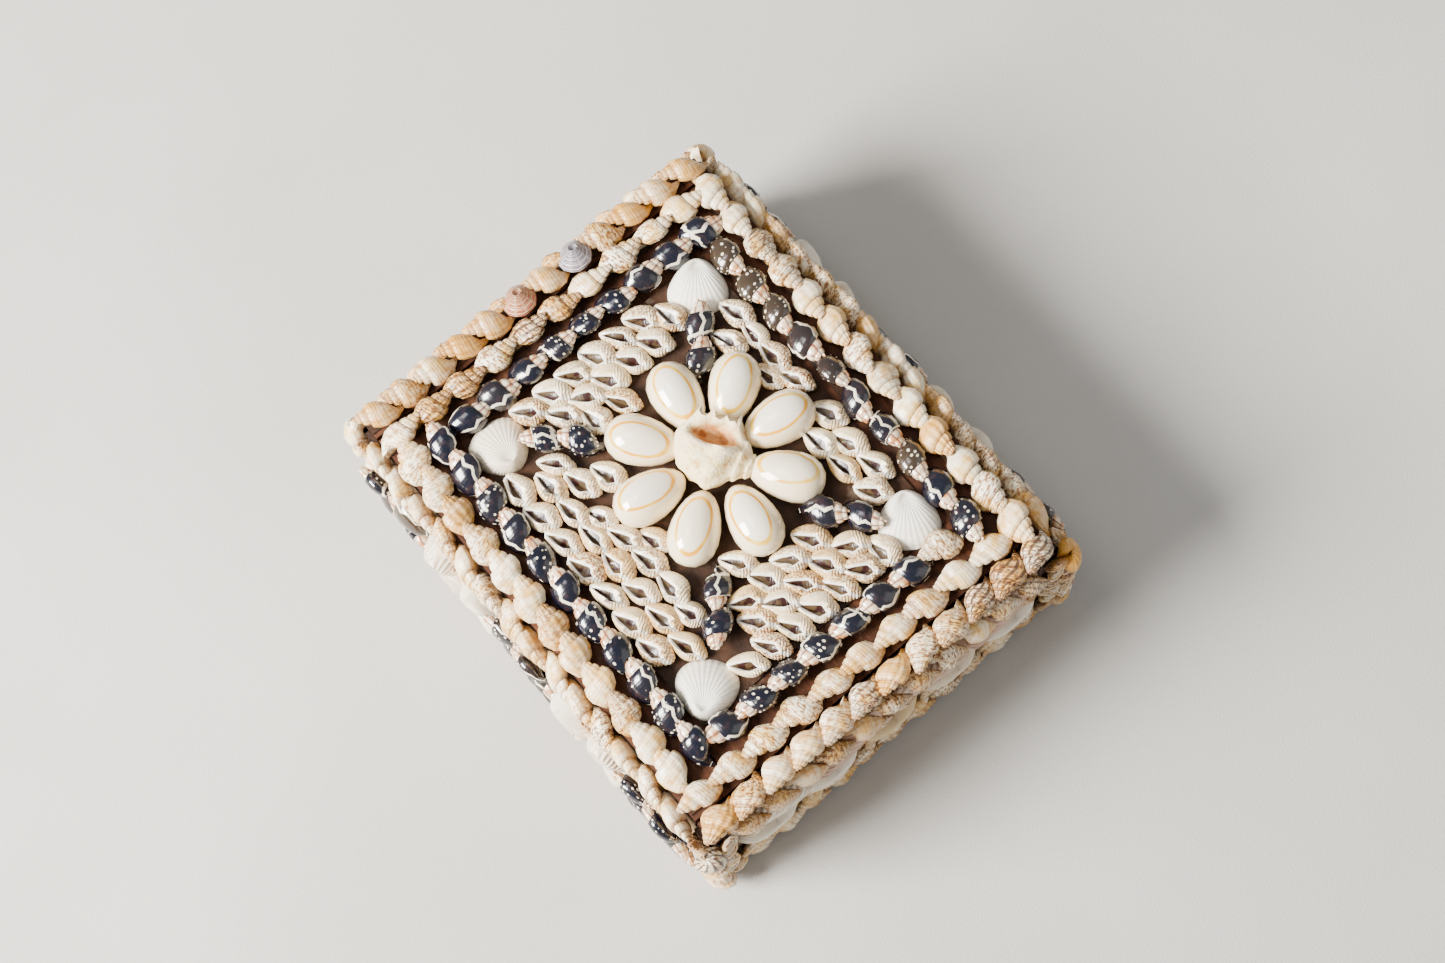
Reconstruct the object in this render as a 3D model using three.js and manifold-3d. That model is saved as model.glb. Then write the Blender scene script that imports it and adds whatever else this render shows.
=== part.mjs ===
// Wooden trinket box covered in sea shells, with a loose lid board lying between its end boards.
// Millimetres. X runs along the front, Y from front to back, Z up. Origin: middle of the underside.

import * as THREE from 'three';
import { mergeVertices } from 'three/addons/utils/BufferGeometryUtils.js';
import Module from 'manifold-3d';

const wasm = await Module();
wasm.setup();

// Wooden carcass
const boxWidth = 122;
const lidLength = 140.4;
const lidThickness = 3.5;
const lidEndGap = 1;
const lidSeatGap = 0.1;
const bodyHeight = 58;
const endBoard = 5;
const sideBoard = 5;
const bottomBoard = 4;

// Glue: the space between a shell and what it is stuck to, and the beds that carry whole groups
const contact = 0.1;
const shellGap = 0.3;
const shellTouch = 0.04;
const fieldBed = 0.7;
const rowBed = 0.5;
const endBed = 1;
const sideBed = 3;

// Small pointed shells: width, height and the share of a row's pitch that one shell is long
const creamShell = { width: 7.6, height: 5.7, reach: 0.98 };
const darkShell = { width: 8.2, height: 6.5, reach: 0.98 };
const rimShell = { width: 7.8, height: 6.2, reach: 1.02 };
const footShell = { width: 7.2, height: 5, reach: 0.94 };
const paleShell = { length: 9.9, width: 6.4, height: 4.8 };

// Border rows on the lid, measured in from the lid's edges
const creamInset = 3.9;
const rowPitch = 9.35;
const creamCounts = { front: 10, right: 13, back: 10, left: 12 };
const darkCounts = { front: 8, right: 10, back: 9, left: 11 };

// Flower of cowries round a whelk, set off to one side of the lid's middle
const flowerX = 6.9;
const flowerY = 2.5;
const cowrieCount = 8;
const cowrieTurn = -9.5;
const cowrie = { length: 22, width: 14.6, height: 10 };
const cowrieRingRadius = 20.6;
const whelk = { length: 18.6, width: 14.6, height: 13, heading: -72 };
const whelkShift = 1.3;
const whelkSides = 8;
const frillCount = 5;

// Cockles in the corners of the field
const cockle = { length: 14.8, width: 15.4, height: 5 };
const cockleInset = 11.7;
const cockleHeadings = [225, 58, 50, 270];
const cockleSpokes = 12;
const ribDepth = 0.35;

// Two dark shells on the way from the flower to each cockle: how far along, how far round, and
// how far they turn from that way
const armShell = { length: 10.4, width: 7.8, height: 6.4, reach: 0.97 };
const arms = [
  { share: 0.568, round: 3.4, turn: 2.9 },
  { share: 0.602, round: -9.4, turn: 10.6 },
  { share: 0.556, round: 2.4, turn: -4.5 },
  { share: 0.617, round: -4.1, turn: 0.9 },
];

// Pale field: pitches of its rows and columns, the lag between columns, and how far the shells lean
const fieldPitch = 8.2;
const fieldRowPitch = 7.4;
const columnPitch = 9.9;
const sideColumnPitch = 7.3;
const columnLag = 0.5;
const endLean = 42;
const sideLean = 13;
const mitreGap = 0.3;
const gapStep = 0.7;
const fillers = [
  { scale: 1, turn: 0 },
  { scale: 0.94, turn: -20 },
  { scale: 0.94, turn: 20 },
  { scale: 0.84, turn: 0 },
  { scale: 0.84, turn: -30 },
  { scale: 0.84, turn: 30 },
];

// Rows on the walls
const rimCount = 12;
const sideRimCount = 14;
const rimSlant = 20;
const rimOut = 1.2;
const sideRimDrop = 5.4;
const ropeDrop = 4.4;
const ropeCount = 11;
const footHeight = 5.6;
const footBedHalf = 4;
const footPitch = 7.8;
const footCount = 11;
const sideFootCount = 13;

// Bands between the rows: valves lying flat, and on the sides clusters of dark shells
const cornerWidth = 5.5;
const bandGap = 0.6;
const longValve = { width: 14, height: 4.6, reach: 0.96, count: 4 };
const fanValve = { height: 5.2, reach: 0.94, count: 5 };
const sideValve = { height: 8.2, reach: 0.95, columns: 2, tiers: 2 };
const clusterShell = { width: 8.6, height: 6.6, reach: 0.97, columns: 2, tiers: 4 };
const clusterWidth = 25;

// Heaps of rough shells round the upright corners
const cornerBed = 1.6;
const cornerShells = 4;
const cornerSides = 5;
const cornerShell = { width: 10.5, height: 9, reach: 1.12 };

// Sizes that follow
const lidTop = bodyHeight;
const lidUnderside = bodyHeight - lidThickness;
const endInner = lidLength / 2 + lidEndGap;
const endOuter = endInner + endBoard;
const sideOuter = boxWidth / 2;
const creamX = sideOuter - creamInset;
const creamY = lidLength / 2 - creamInset;
const darkX = creamX - rowPitch;
const darkY = creamY - rowPitch;
const onBed = fieldBed + contact;
const flowerCentre = [flowerX, flowerY];

const X = new THREE.Vector3(1, 0, 0);
const Y = new THREE.Vector3(0, 1, 0);
const Z = new THREE.Vector3(0, 0, 1);

// A face that shells are stuck to: u runs along it, v across it, and w out of it
function face(origin, u, v) {
  const w = u.clone().cross(v);
  return new THREE.Matrix4().makeBasis(u, v, w).setPosition(origin.clone().addScaledVector(w, contact));
}

const lidFace = face(new THREE.Vector3(0, 0, lidTop), X, Y);
const walls = {
  front: face(new THREE.Vector3(0, -endOuter, 0), X, Z),
  right: face(new THREE.Vector3(sideOuter, 0, 0), Y, Z),
  back: face(new THREE.Vector3(0, endOuter, 0), X.clone().negate(), Z),
  left: face(new THREE.Vector3(-sideOuter, 0, 0), Y.clone().negate(), Z),
};

const paint = (color, roughness) => new THREE.MeshStandardMaterial({ color, roughness, metalness: 0 });
const looks = {
  wood: paint('#7a4a2e', 0.7),
  cream: paint('#dcc9a6', 0.45),
  dark: paint('#1d1d26', 0.2),
  pale: paint('#e8dfd0', 0.4),
  ivory: paint('#f1e9da', 0.18),
  cockle: paint('#ece6d6', 0.6),
  whelk: paint('#e6cfa8', 0.55),
  mixed: paint('#cdb694', 0.5),
};

const radians = THREE.MathUtils.degToRad;

// Repeatable variation between -1 and 1, because no two shells are alike
function vary(seed) {
  const wave = Math.sin(seed * 12.9898 + 4.1) * 43758.5453;
  return 2 * (wave - Math.floor(wave)) - 1;
}

// Triangles of a geometry with shared corners, turned so that they face outwards
function solidOf(geometry) {
  const bare = geometry.clone();
  bare.deleteAttribute('normal');
  bare.deleteAttribute('uv');
  const merged = mergeVertices(bare, 1e-4);
  const points = merged.getAttribute('position').array;
  const corner = (i) => new THREE.Vector3().fromArray(points, 3 * i);
  const triangles = [];
  let volume = 0;
  for (let i = 0; i < merged.index.count; i += 3) {
    const [a, b, c] = [0, 1, 2].map((k) => merged.index.getX(i + k));
    if (a === b || b === c || c === a) continue;
    triangles.push([a, b, c]);
    volume += corner(a).dot(corner(b).cross(corner(c)));
  }
  const outward = volume > 0 ? triangles : triangles.map(([a, b, c]) => [a, c, b]);
  const mesh = new wasm.Mesh({
    numProp: 3,
    vertProperties: new Float32Array(points),
    triVerts: new Uint32Array(outward.flat()),
  });
  return new wasm.Manifold(mesh);
}

function geometryOf(solid) {
  const mesh = solid.getMesh();
  const geometry = new THREE.BufferGeometry();
  geometry.setAttribute('position', new THREE.BufferAttribute(new Float32Array(mesh.vertProperties), 3));
  geometry.setIndex(new THREE.BufferAttribute(new Uint32Array(mesh.triVerts), 1));
  geometry.computeVertexNormals();
  return geometry;
}

// A turned form lying along +X, given as [share of length, share of half width] from end to end
function turned(profile, sides, { length, width, height }, flat) {
  const points = profile.map(([along, out]) => new THREE.Vector2(out * width / 2, along * length));
  const geometry = new THREE.LatheGeometry(points, sides, Math.PI / 2 + Math.PI / sides);
  geometry.rotateZ(-Math.PI / 2);
  geometry.rotateX(-Math.PI / 2);
  const position = geometry.getAttribute('position');
  let lowest = 0;
  let highest = 0;
  for (let i = 0; i < position.count; i += 1) {
    const z = Math.max(position.getZ(i), -flat * width / 2);
    position.setZ(i, z);
    lowest = Math.min(lowest, z);
    highest = Math.max(highest, z);
  }
  geometry.translate(0, 0, -lowest);
  geometry.scale(1, 1, height / (highest - lowest));
  return geometry;
}

const cowrieProfile = [[-0.5, 0], [-0.4, 0.56], [-0.1, 1], [0.24, 0.78], [0.5, 0]];
const cowrieShell = (size) => turned(cowrieProfile, 9, size, 0.62);

// Corners of an oval lying along x, its middle points drawn back towards the blunt end
function oval(count, halfLength, halfWidth, height, { shift = 0, phase = 0, blunt = 0.16 } = {}) {
  return Array.from({ length: count }, (_, i) => {
    const angle = 2 * Math.PI * (i + phase) / count;
    const back = blunt * halfLength * Math.sin(angle) ** 2;
    return [halfLength * Math.cos(angle) - back + shift, halfWidth * Math.sin(angle), height];
  });
}

// Rings of a shell that grows out of its bed, from the patch that is stuck down to the back
const spindleRings = ({ length, width, height }) => [
  oval(4, 0.36 * length, 0.22 * width, 0),
  oval(6, 0.5 * length, 0.5 * width, 0.42 * height),
  oval(2, 0.2 * length, 0, height, { shift: -0.05 * length }),
];
const roofRings = ({ length, width, height }) => [
  oval(6, 0.5 * length, 0.53 * width, 0),
  oval(2, 0.24 * length, 0, height, { shift: -0.05 * length }),
];
const mouthRings = ({ length, width, height }) => [
  oval(6, 0.5 * length, 0.53 * width, 0),
  oval(4, 0.34 * length, 0.34 * width, height, { phase: 0.5 }),
];
const valveRings = ({ length, width, height }) => [
  oval(8, 0.5 * length, 0.5 * width, 0, { blunt: 0.1 }),
  oval(8, 0.33 * length, 0.36 * width, 0.72 * height, { shift: 0.08 * length, blunt: 0.1 }),
  oval(1, 0, 0, height, { shift: 0.16 * length }),
];

// A flat bed with shells growing out of it, all one closed skin. The outline runs anticlockwise.
function relief(outline, thickness, shells) {
  const points = [];
  const index = [];
  const add = (list) => list.map((point) => points.push(point) - 1);
  const ring = shells.map(({ at, heading, rings }) => rings.map((corners) => add(corners.map(([x, y, z]) => {
    const [c, s] = [Math.cos(radians(heading)), Math.sin(radians(heading))];
    return [at[0] + c * x - s * y, at[1] + s * x + c * y, thickness + z];
  }))));
  const top = add(outline.map(([x, y]) => [x, y, thickness]));
  const bottom = add(outline.map(([x, y]) => [x, y, 0]));
  const flat = (corners) => corners.map((i) => new THREE.Vector2(points[i][0], points[i][1]));
  const bases = ring.map((rings) => rings[0]);
  const order = [...top, ...bases.flat()];
  for (const triangle of THREE.ShapeUtils.triangulateShape(flat(top), bases.map(flat))) {
    index.push(...triangle.map((i) => order[i]));
  }
  for (const triangle of THREE.ShapeUtils.triangulateShape(flat(bottom), [])) {
    index.push(...triangle.map((i) => bottom[i]).reverse());
  }
  bridge(bottom, top, index);
  for (const rings of ring) {
    for (let level = 1; level < rings.length; level += 1) bridge(rings[level - 1], rings[level], index);
    const cap = THREE.ShapeUtils.triangulateShape(flat(rings.at(-1)), []);
    if (rings.at(-1).length > 2) index.push(...cap.flat().map((i) => rings.at(-1)[i]));
  }
  const geometry = new THREE.BufferGeometry();
  geometry.setAttribute('position', new THREE.Float32BufferAttribute(points.flat(), 3));
  geometry.setIndex(index);
  geometry.computeVertexNormals();
  return geometry;
}

// Triangles between two closed rings that may have different numbers of corners
function bridge(lower, upper, index) {
  let i = 0;
  let j = 0;
  while (i < lower.length || j < upper.length) {
    const here = lower[i % lower.length];
    const above = upper[j % upper.length];
    if (j === upper.length || (i < lower.length && (i + 0.5) / lower.length <= (j + 0.5) / upper.length)) {
      i += 1;
      index.push(here, lower[i % lower.length], above);
    } else {
      j += 1;
      if (upper.length > 1) index.push(here, upper[j % upper.length], above);
    }
  }
}

// A domed valve with its beak towards +X; ribs fan out from the beak
function cockleShell({ length, width, height }, spokes, ribDepth) {
  const beak = [0.4 * length, 0, 0.5 * height];
  const share = [0.36, 0.74, 1];
  const rise = [0.98, 0.72, 0];
  const points = [beak];
  for (const [level, out] of share.entries()) {
    for (let i = 0; i < spokes; i += 1) {
      const angle = 2 * Math.PI * i / spokes;
      const edge = [length / 2 * Math.cos(angle), width / 2 * Math.sin(angle) * (1 - 0.22 * Math.cos(angle))];
      const rib = i % 2 === 0 && level < 2 ? ribDepth * out : 0;
      points.push([beak[0] + (edge[0] - beak[0]) * out, edge[1] * out, height * rise[level] - rib]);
    }
  }
  points.push([0, 0, 0]);
  const ring = share.map((_, level) => Array.from({ length: spokes }, (_, i) => 1 + level * spokes + i));
  const index = [];
  bridge(ring[0], [0], index);
  bridge(ring[1], ring[0], index);
  bridge(ring[2], ring[1], index);
  bridge([...ring[2]].reverse(), [points.length - 1], index);
  const geometry = new THREE.BufferGeometry();
  geometry.setAttribute('position', new THREE.Float32BufferAttribute(points.flat(), 3));
  geometry.setIndex(index);
  return geometry;
}

// Sets a form on a face at (u, v), turned by a heading in degrees, and sunk or lifted along w
function place(geometry, on, { at, heading = 0, lift = 0 }) {
  const turn = new THREE.Matrix4().makeRotationZ(radians(heading));
  const shift = new THREE.Matrix4().makeTranslation(at[0], at[1], lift);
  return geometry.clone().applyMatrix4(new THREE.Matrix4().multiplyMatrices(on, shift.multiply(turn)));
}

const part = new THREE.Group();

function addPiece(name, geometry, look) {
  const mesh = new THREE.Mesh(geometry, looks[look]);
  mesh.name = name;
  part.add(mesh);
}

const rectangle = ([u0, u1], [v0, v1]) => [[u0, v0], [u1, v0], [u1, v1], [u0, v1]];

function addRelief(name, on, outline, thickness, shells, look) {
  addPiece(name, relief(outline, thickness, shells).applyMatrix4(on), look);
}

// Places of the shells in a straight row whose tips all point from start to end
function rowPlaces({ start, end, count, kind, slant = 0, seed }) {
  const along = [end[0] - start[0], end[1] - start[1]];
  const pitch = Math.hypot(...along) / count;
  const heading = THREE.MathUtils.radToDeg(Math.atan2(along[1], along[0]));
  return Array.from({ length: count }, (_, i) => {
    const step = (i + 0.5) / count;
    const n = seed + i;
    return {
      at: [start[0] + along[0] * step, start[1] + along[1] * step],
      heading: heading + slant + 3 * vary(n + 0.3),
      length: pitch * kind.reach * (1 + 0.02 * (vary(n + 0.5) - 1)),
      width: kind.width * (1 + 0.04 * (vary(n + 0.7) - 1)),
      height: kind.height * (1 + 0.05 * (vary(n + 0.9) - 1)),
    };
  });
}

const shaped = (places, rings) => places.map((shell) => ({ ...shell, rings: rings(shell) }));

// A row on its own strip of glue
function addRow(name, on, places, rings, look) {
  const across = Math.max(...places.map(({ width }) => width)) * 0.3;
  const reach = (axis) => places.map(({ at }) => at[axis]);
  const long = reach(0).some((u) => Math.abs(u - places[0].at[0]) > across) ? 0 : 1;
  const half = (axis) => (axis === long ? places[0].length * 0.5 : across);
  const span = (axis) => [Math.min(...reach(axis)) - half(axis), Math.max(...reach(axis)) + half(axis)];
  addRelief(name, on, rectangle(span(0), span(1)), rowBed, shaped(places, rings), look);
}

// Outlines on the lid, from which free space is judged, as shares of length and width
const ovalOutline = oval(6, 0.5, 0.53, 0);
const roundOutline = oval(12, 0.5, 0.52, 0, { blunt: 0 });
const bedOutline = [[0.5, 0.32], [0, 0.53], [-0.5, 0.32], [-0.5, -0.32], [0, -0.53], [0.5, -0.32]];
const cowrieOutline = [...cowrieProfile].reverse().map(([x, r]) => [x, r / 2]);
cowrieOutline.push(...cowrieProfile.slice(1, -1).map(([x, r]) => [x, -r / 2]));
function outlineOf({ at, heading, length, width, outline = ovalOutline }) {
  const [c, s] = [Math.cos(radians(heading)), Math.sin(radians(heading))];
  return outline.map(([along, across]) => {
    const [x, y] = [along * length, across * width];
    return [at[0] + c * x - s * y, at[1] + s * x + c * y];
  });
}

// How far each corner lies inside each edge of a convex outline that runs anticlockwise
function depths(corners, outline) {
  return outline.map((start, i) => {
    const end = outline[(i + 1) % outline.length];
    const edge = [end[0] - start[0], end[1] - start[1]];
    const span = Math.hypot(...edge);
    return corners.map(([x, y]) => (edge[0] * (y - start[1]) - edge[1] * (x - start[0])) / span);
  });
}

function spaceBetween(a, b) {
  const [first, second] = [outlineOf(a), outlineOf(b)];
  const outside = (corners, outline) => depths(corners, outline).map((row) => -Math.max(...row));
  return Math.max(...outside(first, second), ...outside(second, first));
}

function spaceInside(shell, outline) {
  return Math.min(...depths(outlineOf(shell), outline).flat());
}

// Carcass
function board(name, [sx, sy, sz], [x, y, z]) {
  addPiece(name, new THREE.BoxGeometry(sx, sy, sz).translate(x, y, z), 'wood');
}

const sideTop = lidUnderside - lidSeatGap;
const endHeight = bodyHeight - bottomBoard;
const sideHeight = sideTop - bottomBoard;
board('bottom_board', [boxWidth, 2 * endOuter, bottomBoard], [0, 0, bottomBoard / 2]);
for (const [name, side] of [['front_board', -1], ['back_board', 1]]) {
  const y = side * (endInner + endBoard / 2);
  board(name, [boxWidth, endBoard, endHeight], [0, y, bottomBoard + endHeight / 2]);
}
for (const [name, side] of [['left_board', -1], ['right_board', 1]]) {
  const x = side * (sideOuter - sideBoard / 2);
  board(name, [sideBoard, 2 * endInner, sideHeight], [x, 0, bottomBoard + sideHeight / 2]);
}
board('lid_board', [boxWidth, lidLength, lidThickness], [0, 0, lidUnderside + lidThickness / 2]);

// Cream border: the rows chase each other round the lid
const creamHalf = creamShell.width / 2;
const creamRows = {
  front: { start: [creamX - creamHalf - shellGap, -creamY], end: [-sideOuter, -creamY] },
  right: { start: [creamX, creamY + creamHalf], end: [creamX, -creamY - creamHalf] },
  back: { start: [-sideOuter, creamY], end: [creamX - creamHalf - shellGap, creamY] },
  left: { start: [-creamX, -creamY + creamHalf + shellGap], end: [-creamX, creamY - creamHalf - shellGap] },
};
const darkHalf = darkShell.width / 2;
const darkRows = {
  front: { start: [darkX - darkHalf - shellGap, -darkY], end: [-darkX + darkHalf + shellGap, -darkY] },
  right: { start: [darkX, darkY - darkHalf - shellGap], end: [darkX, -darkY - darkHalf] },
  back: { start: [-darkX + darkHalf + shellGap, darkY], end: [darkX + darkHalf, darkY] },
  left: { start: [-darkX, -darkY - darkHalf], end: [-darkX, darkY + darkHalf] },
};
for (const [k, side] of Object.keys(creamRows).entries()) {
  const cream = rowPlaces({ ...creamRows[side], count: creamCounts[side], kind: creamShell, seed: 100 * k + 11 });
  addRow(`cream_border_${side}`, lidFace, cream, spindleRings, 'cream');
  const dark = rowPlaces({ ...darkRows[side], count: darkCounts[side], kind: darkShell, seed: 100 * k + 41 });
  addRow(`dark_border_${side}`, lidFace, dark, spindleRings, 'dark');
}

// Flower
const cowriePlaces = Array.from({ length: cowrieCount }, (_, i) => {
  const heading = cowrieTurn + 360 * i / cowrieCount;
  const x = flowerCentre[0] + cowrieRingRadius * Math.cos(radians(heading));
  const y = flowerCentre[1] + cowrieRingRadius * Math.sin(radians(heading));
  return { ...cowrie, at: [x, y], heading: heading + 180, lift: onBed, outline: cowrieOutline };
});
for (const [i, shell] of cowriePlaces.entries()) {
  addPiece(`ring_cowrie_${i + 1}`, place(cowrieShell(shell), lidFace, shell), 'ivory');
}

// Whelk on its back: knobbed whorls, an open mouth and a frilled lip on its right
const whelkProfile = [[-0.5, 0], [-0.42, 0.2], [-0.22, 0.7], [0.02, 1], [0.16, 0.72], [0.24, 0.7], [0.36, 0.34], [0.5, 0]];
const radiusShare = (profile, along) => {
  const k = profile.findIndex(([x]) => x > along);
  const [[x0, r0], [x1, r1]] = [profile[k - 1], profile[k]];
  return r0 + (r1 - r0) * (along - x0) / (x1 - x0);
};
function whelkSolid({ length, width, height }) {
  const body = turned(whelkProfile, whelkSides, { length, width, height }, 0.8);
  const position = body.getAttribute('position');
  for (let i = 0; i < position.count; i += 1) {
    const along = position.getX(i) / length;
    const turn = Math.atan2(position.getZ(i) - height / 2, position.getY(i)) / (2 * Math.PI);
    const knobbed = along > 0 && along < 0.2 && Math.abs(Math.round(turn * whelkSides)) % 2 === 0;
    position.setY(i, position.getY(i) * (knobbed ? 1.12 : 1));
  }
  const mouth = new THREE.SphereGeometry(1, 8, 4).scale(0.3 * length, 0.19 * width, 0.34 * height);
  mouth.rotateZ(radians(-8)).translate(-0.06 * length, 0.16 * width, 0.93 * height);
  let solid = solidOf(body).subtract(solidOf(mouth));
  for (let i = 0; i < frillCount; i += 1) {
    const along = -0.3 + 0.48 * i / (frillCount - 1);
    const frill = new THREE.ConeGeometry(0.08 * width, 0.26 * width, 4);
    frill.translate(along * length, 0.42 * width * radiusShare(whelkProfile, along), 0.7 * height);
    solid = solid.add(solidOf(frill));
  }
  return solid;
}
const whelkPlace = { at: [flowerX + whelkShift, flowerY + whelkShift / 2], heading: whelk.heading, lift: onBed };
addPiece('centre_whelk', place(geometryOf(whelkSolid(whelk)), lidFace, whelkPlace), 'whelk');

// Cockles, and the pairs of dark shells between them and the flower
const cockleX = darkX - cockleInset;
const cockleY = darkY - cockleInset;
const cockleSpots = [[-cockleX, -cockleY], [cockleX, -cockleY], [cockleX, cockleY], [-cockleX, cockleY]];
const cocklePlaces = cockleSpots.map((at, i) => (
  { ...cockle, at, heading: cockleHeadings[i], lift: onBed, outline: roundOutline }
));
for (const [i, shell] of cocklePlaces.entries()) {
  addPiece(`corner_cockle_${i + 1}`, place(cockleShell(shell, cockleSpokes, ribDepth), lidFace, shell), 'cockle');
}
const armPlaces = [];
for (const [i, { share, round, turn }] of arms.entries()) {
  const way = [cockleSpots[i][0] - flowerX, cockleSpots[i][1] - flowerY];
  const reach = share * Math.hypot(...way);
  const angle = Math.atan2(way[1], way[0]) + radians(round);
  const heading = THREE.MathUtils.radToDeg(Math.atan2(way[1], way[0])) + turn;
  const [c, s] = [Math.cos(radians(heading)), Math.sin(radians(heading))];
  const start = [
    flowerX + reach * Math.cos(angle) - c * armShell.length / 2,
    flowerY + reach * Math.sin(angle) - s * armShell.length / 2,
  ];
  const row = rowPlaces({ start: [0, 0], end: [2 * armShell.length, 0], count: 2, kind: armShell, seed: 470 + 2 * i });
  const onArm = new THREE.Matrix4().makeRotationZ(radians(heading)).setPosition(...start, onBed);
  addRow(`dark_pair_${i + 1}`, lidFace.clone().multiply(onArm), row, spindleRings, 'dark');
  armPlaces.push(...row.map((shell) => {
    const along = shell.at[0];
    return { ...shell, at: [start[0] + c * along, start[1] + s * along], heading, outline: bedOutline };
  }));
}

// Pale field: staggered rows of shells, mouths up, wherever the larger shells leave room. Its bed is
// four triangles that meet under the flower.
const fieldX = darkX - darkHalf - shellGap;
const fieldY = darkY - darkHalf - shellGap;
const firstX = fieldX - paleShell.width / 2 - 2 * mitreGap;
const firstY = fieldY - 0.46 * paleShell.length - mitreGap;
const fieldCorners = [[-fieldX, -fieldY], [fieldX, -fieldY], [fieldX, fieldY], [-fieldX, fieldY]];
const lattice = [
  { side: 'front', from: [-firstX, -firstY], step: [fieldPitch, 0], next: [0, fieldRowPitch] },
  { side: 'right', from: [firstX, -firstY], step: [0, columnPitch], next: [-sideColumnPitch, 0] },
  { side: 'back', from: [-firstX, firstY], step: [fieldPitch, 0], next: [0, -fieldRowPitch] },
  { side: 'left', from: [-firstX, -firstY], step: [0, columnPitch], next: [sideColumnPitch, 0] },
];
const larger = [...cowriePlaces, ...cocklePlaces, ...armPlaces, { ...whelk, ...whelkPlace, outline: roundOutline }];
const fits = (shell, corners, others) => spaceInside(shell, corners) > mitreGap
  && larger.every((other) => spaceBetween(shell, other) > shellGap)
  && others.every((other) => spaceBetween(shell, other) > shellTouch);
const pale = [];
for (const [k, { side, from, step, next }] of lattice.entries()) {
  const isEnd = k % 2 === 0;
  const lean = isEnd ? endLean : sideLean;
  const lag = isEnd ? -next[1] * Math.tan(radians(lean)) / fieldPitch : columnLag;
  const rows = Math.floor((isEnd ? firstY : firstX) / Math.abs(next[0] + next[1]));
  const perRow = Math.ceil(2 * (isEnd ? firstX : firstY) / (step[0] + step[1])) + 2;
  const corners = [fieldCorners[k], fieldCorners[(k + 1) % 4], flowerCentre];
  const own = [];
  for (let row = 0; row < rows; row += 1) {
    for (let i = -2; i < perRow; i += 1) {
      const n = 500 + 200 * k + 20 * row + i;
      const along = i + (lag * row) % 1;
      const at = [0, 1].map((axis) => from[axis] + step[axis] * along + next[axis] * row + 0.1 * vary(n));
      const shell = { ...paleShell, at, heading: 90 + lean + 2 * vary(n + 0.5) };
      if (fits(shell, corners, [...pale, ...own])) own.push(shell);
    }
  }
  const [lowX, lowY] = [0, 1].map((axis) => Math.min(...corners.map((corner) => corner[axis])));
  const [highX, highY] = [0, 1].map((axis) => Math.max(...corners.map((corner) => corner[axis])));
  for (const { scale, turn } of fillers) {
    const { length, width, height } = paleShell;
    const size = { length: scale * length, width: scale * width, height: scale * height };
    for (let y = lowY; y < highY; y += gapStep) {
      for (let x = lowX; x < highX; x += gapStep) {
        const shell = { ...size, at: [x, y], heading: 90 + lean + turn };
        if (fits(shell, corners, [...pale, ...own])) own.push(shell);
      }
    }
  }
  pale.push(...own);
  const middle = [0, 1].map((axis) => corners.reduce((sum, corner) => sum + corner[axis] / 3, 0));
  const inset = corners.map((corner) => [0, 1].map((axis) => {
    const reach = corner[axis] - middle[axis];
    return corner[axis] - Math.sign(reach) * Math.min(Math.abs(reach), mitreGap);
  }));
  addRelief(`pale_field_${side}`, lidFace, inset, fieldBed, shaped(own, mouthRings), 'pale');
}

// Rim rows: on top of the end boards, and on the faces of the side boards just under the lid's edge
const slanted = { kind: rimShell, slant: rimSlant };
for (const [k, [side, away]] of [['front', -1], ['back', 1]].entries()) {
  const y = away * (endInner + endBoard / 2 + rimOut);
  const ends = [[-away * -sideOuter, y], [-away * sideOuter, y]];
  const row = rowPlaces({ ...slanted, start: ends[0], end: ends[1], count: rimCount, seed: 1400 + 30 * k });
  addRow(`rim_row_${side}`, lidFace, row, spindleRings, 'mixed');
}
const bandLength = { front: 2 * (sideOuter - cornerWidth), back: 2 * (sideOuter - cornerWidth) };
bandLength.left = 2 * (endOuter - cornerWidth);
bandLength.right = bandLength.left;
const wallRow = (side, height, more) => {
  const half = bandLength[side] / 2 - shellGap;
  const ends = [[-half, height], [half, height]];
  return rowPlaces({ start: ends[more.back ? 1 : 0], end: ends[more.back ? 0 : 1], ...more });
};
for (const [k, side] of ['left', 'right'].entries()) {
  const row = wallRow(side, lidTop - sideRimDrop, { ...slanted, slant: 8, count: sideRimCount, seed: 1460 + 30 * k });
  addRow(`rim_row_${side}`, walls[side], row, spindleRings, 'cream');
}
for (const [k, side] of ['front', 'back'].entries()) {
  const row = wallRow(side, lidTop - ropeDrop, { ...slanted, slant: 14, count: ropeCount, seed: 1520 + 30 * k });
  addRow(`rope_row_${side}`, walls[side], row, spindleRings, 'mixed');
}

// Foot rows: two on the front, one on each other wall
for (const [k, side] of Object.keys(walls).entries()) {
  const isEnd = side === 'front' || side === 'back';
  const tiers = side === 'front' ? 2 : 1;
  const count = isEnd ? footCount : sideFootCount;
  const rows = Array.from({ length: tiers }, (_, tier) => {
    const height = footHeight + tier * footPitch;
    return wallRow(side, height, { kind: footShell, slant: 12, count, seed: 1600 + 60 * k + 20 * tier, back: tier });
  });
  const half = bandLength[side] / 2;
  const outline = rectangle([-half, half], [footHeight - footBedHalf, footHeight + (tiers - 1) * footPitch + footBedHalf]);
  addRelief(`foot_rows_${side}`, walls[side], outline, rowBed, shaped(rows.flat(), roofRings), 'cream');
}

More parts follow.
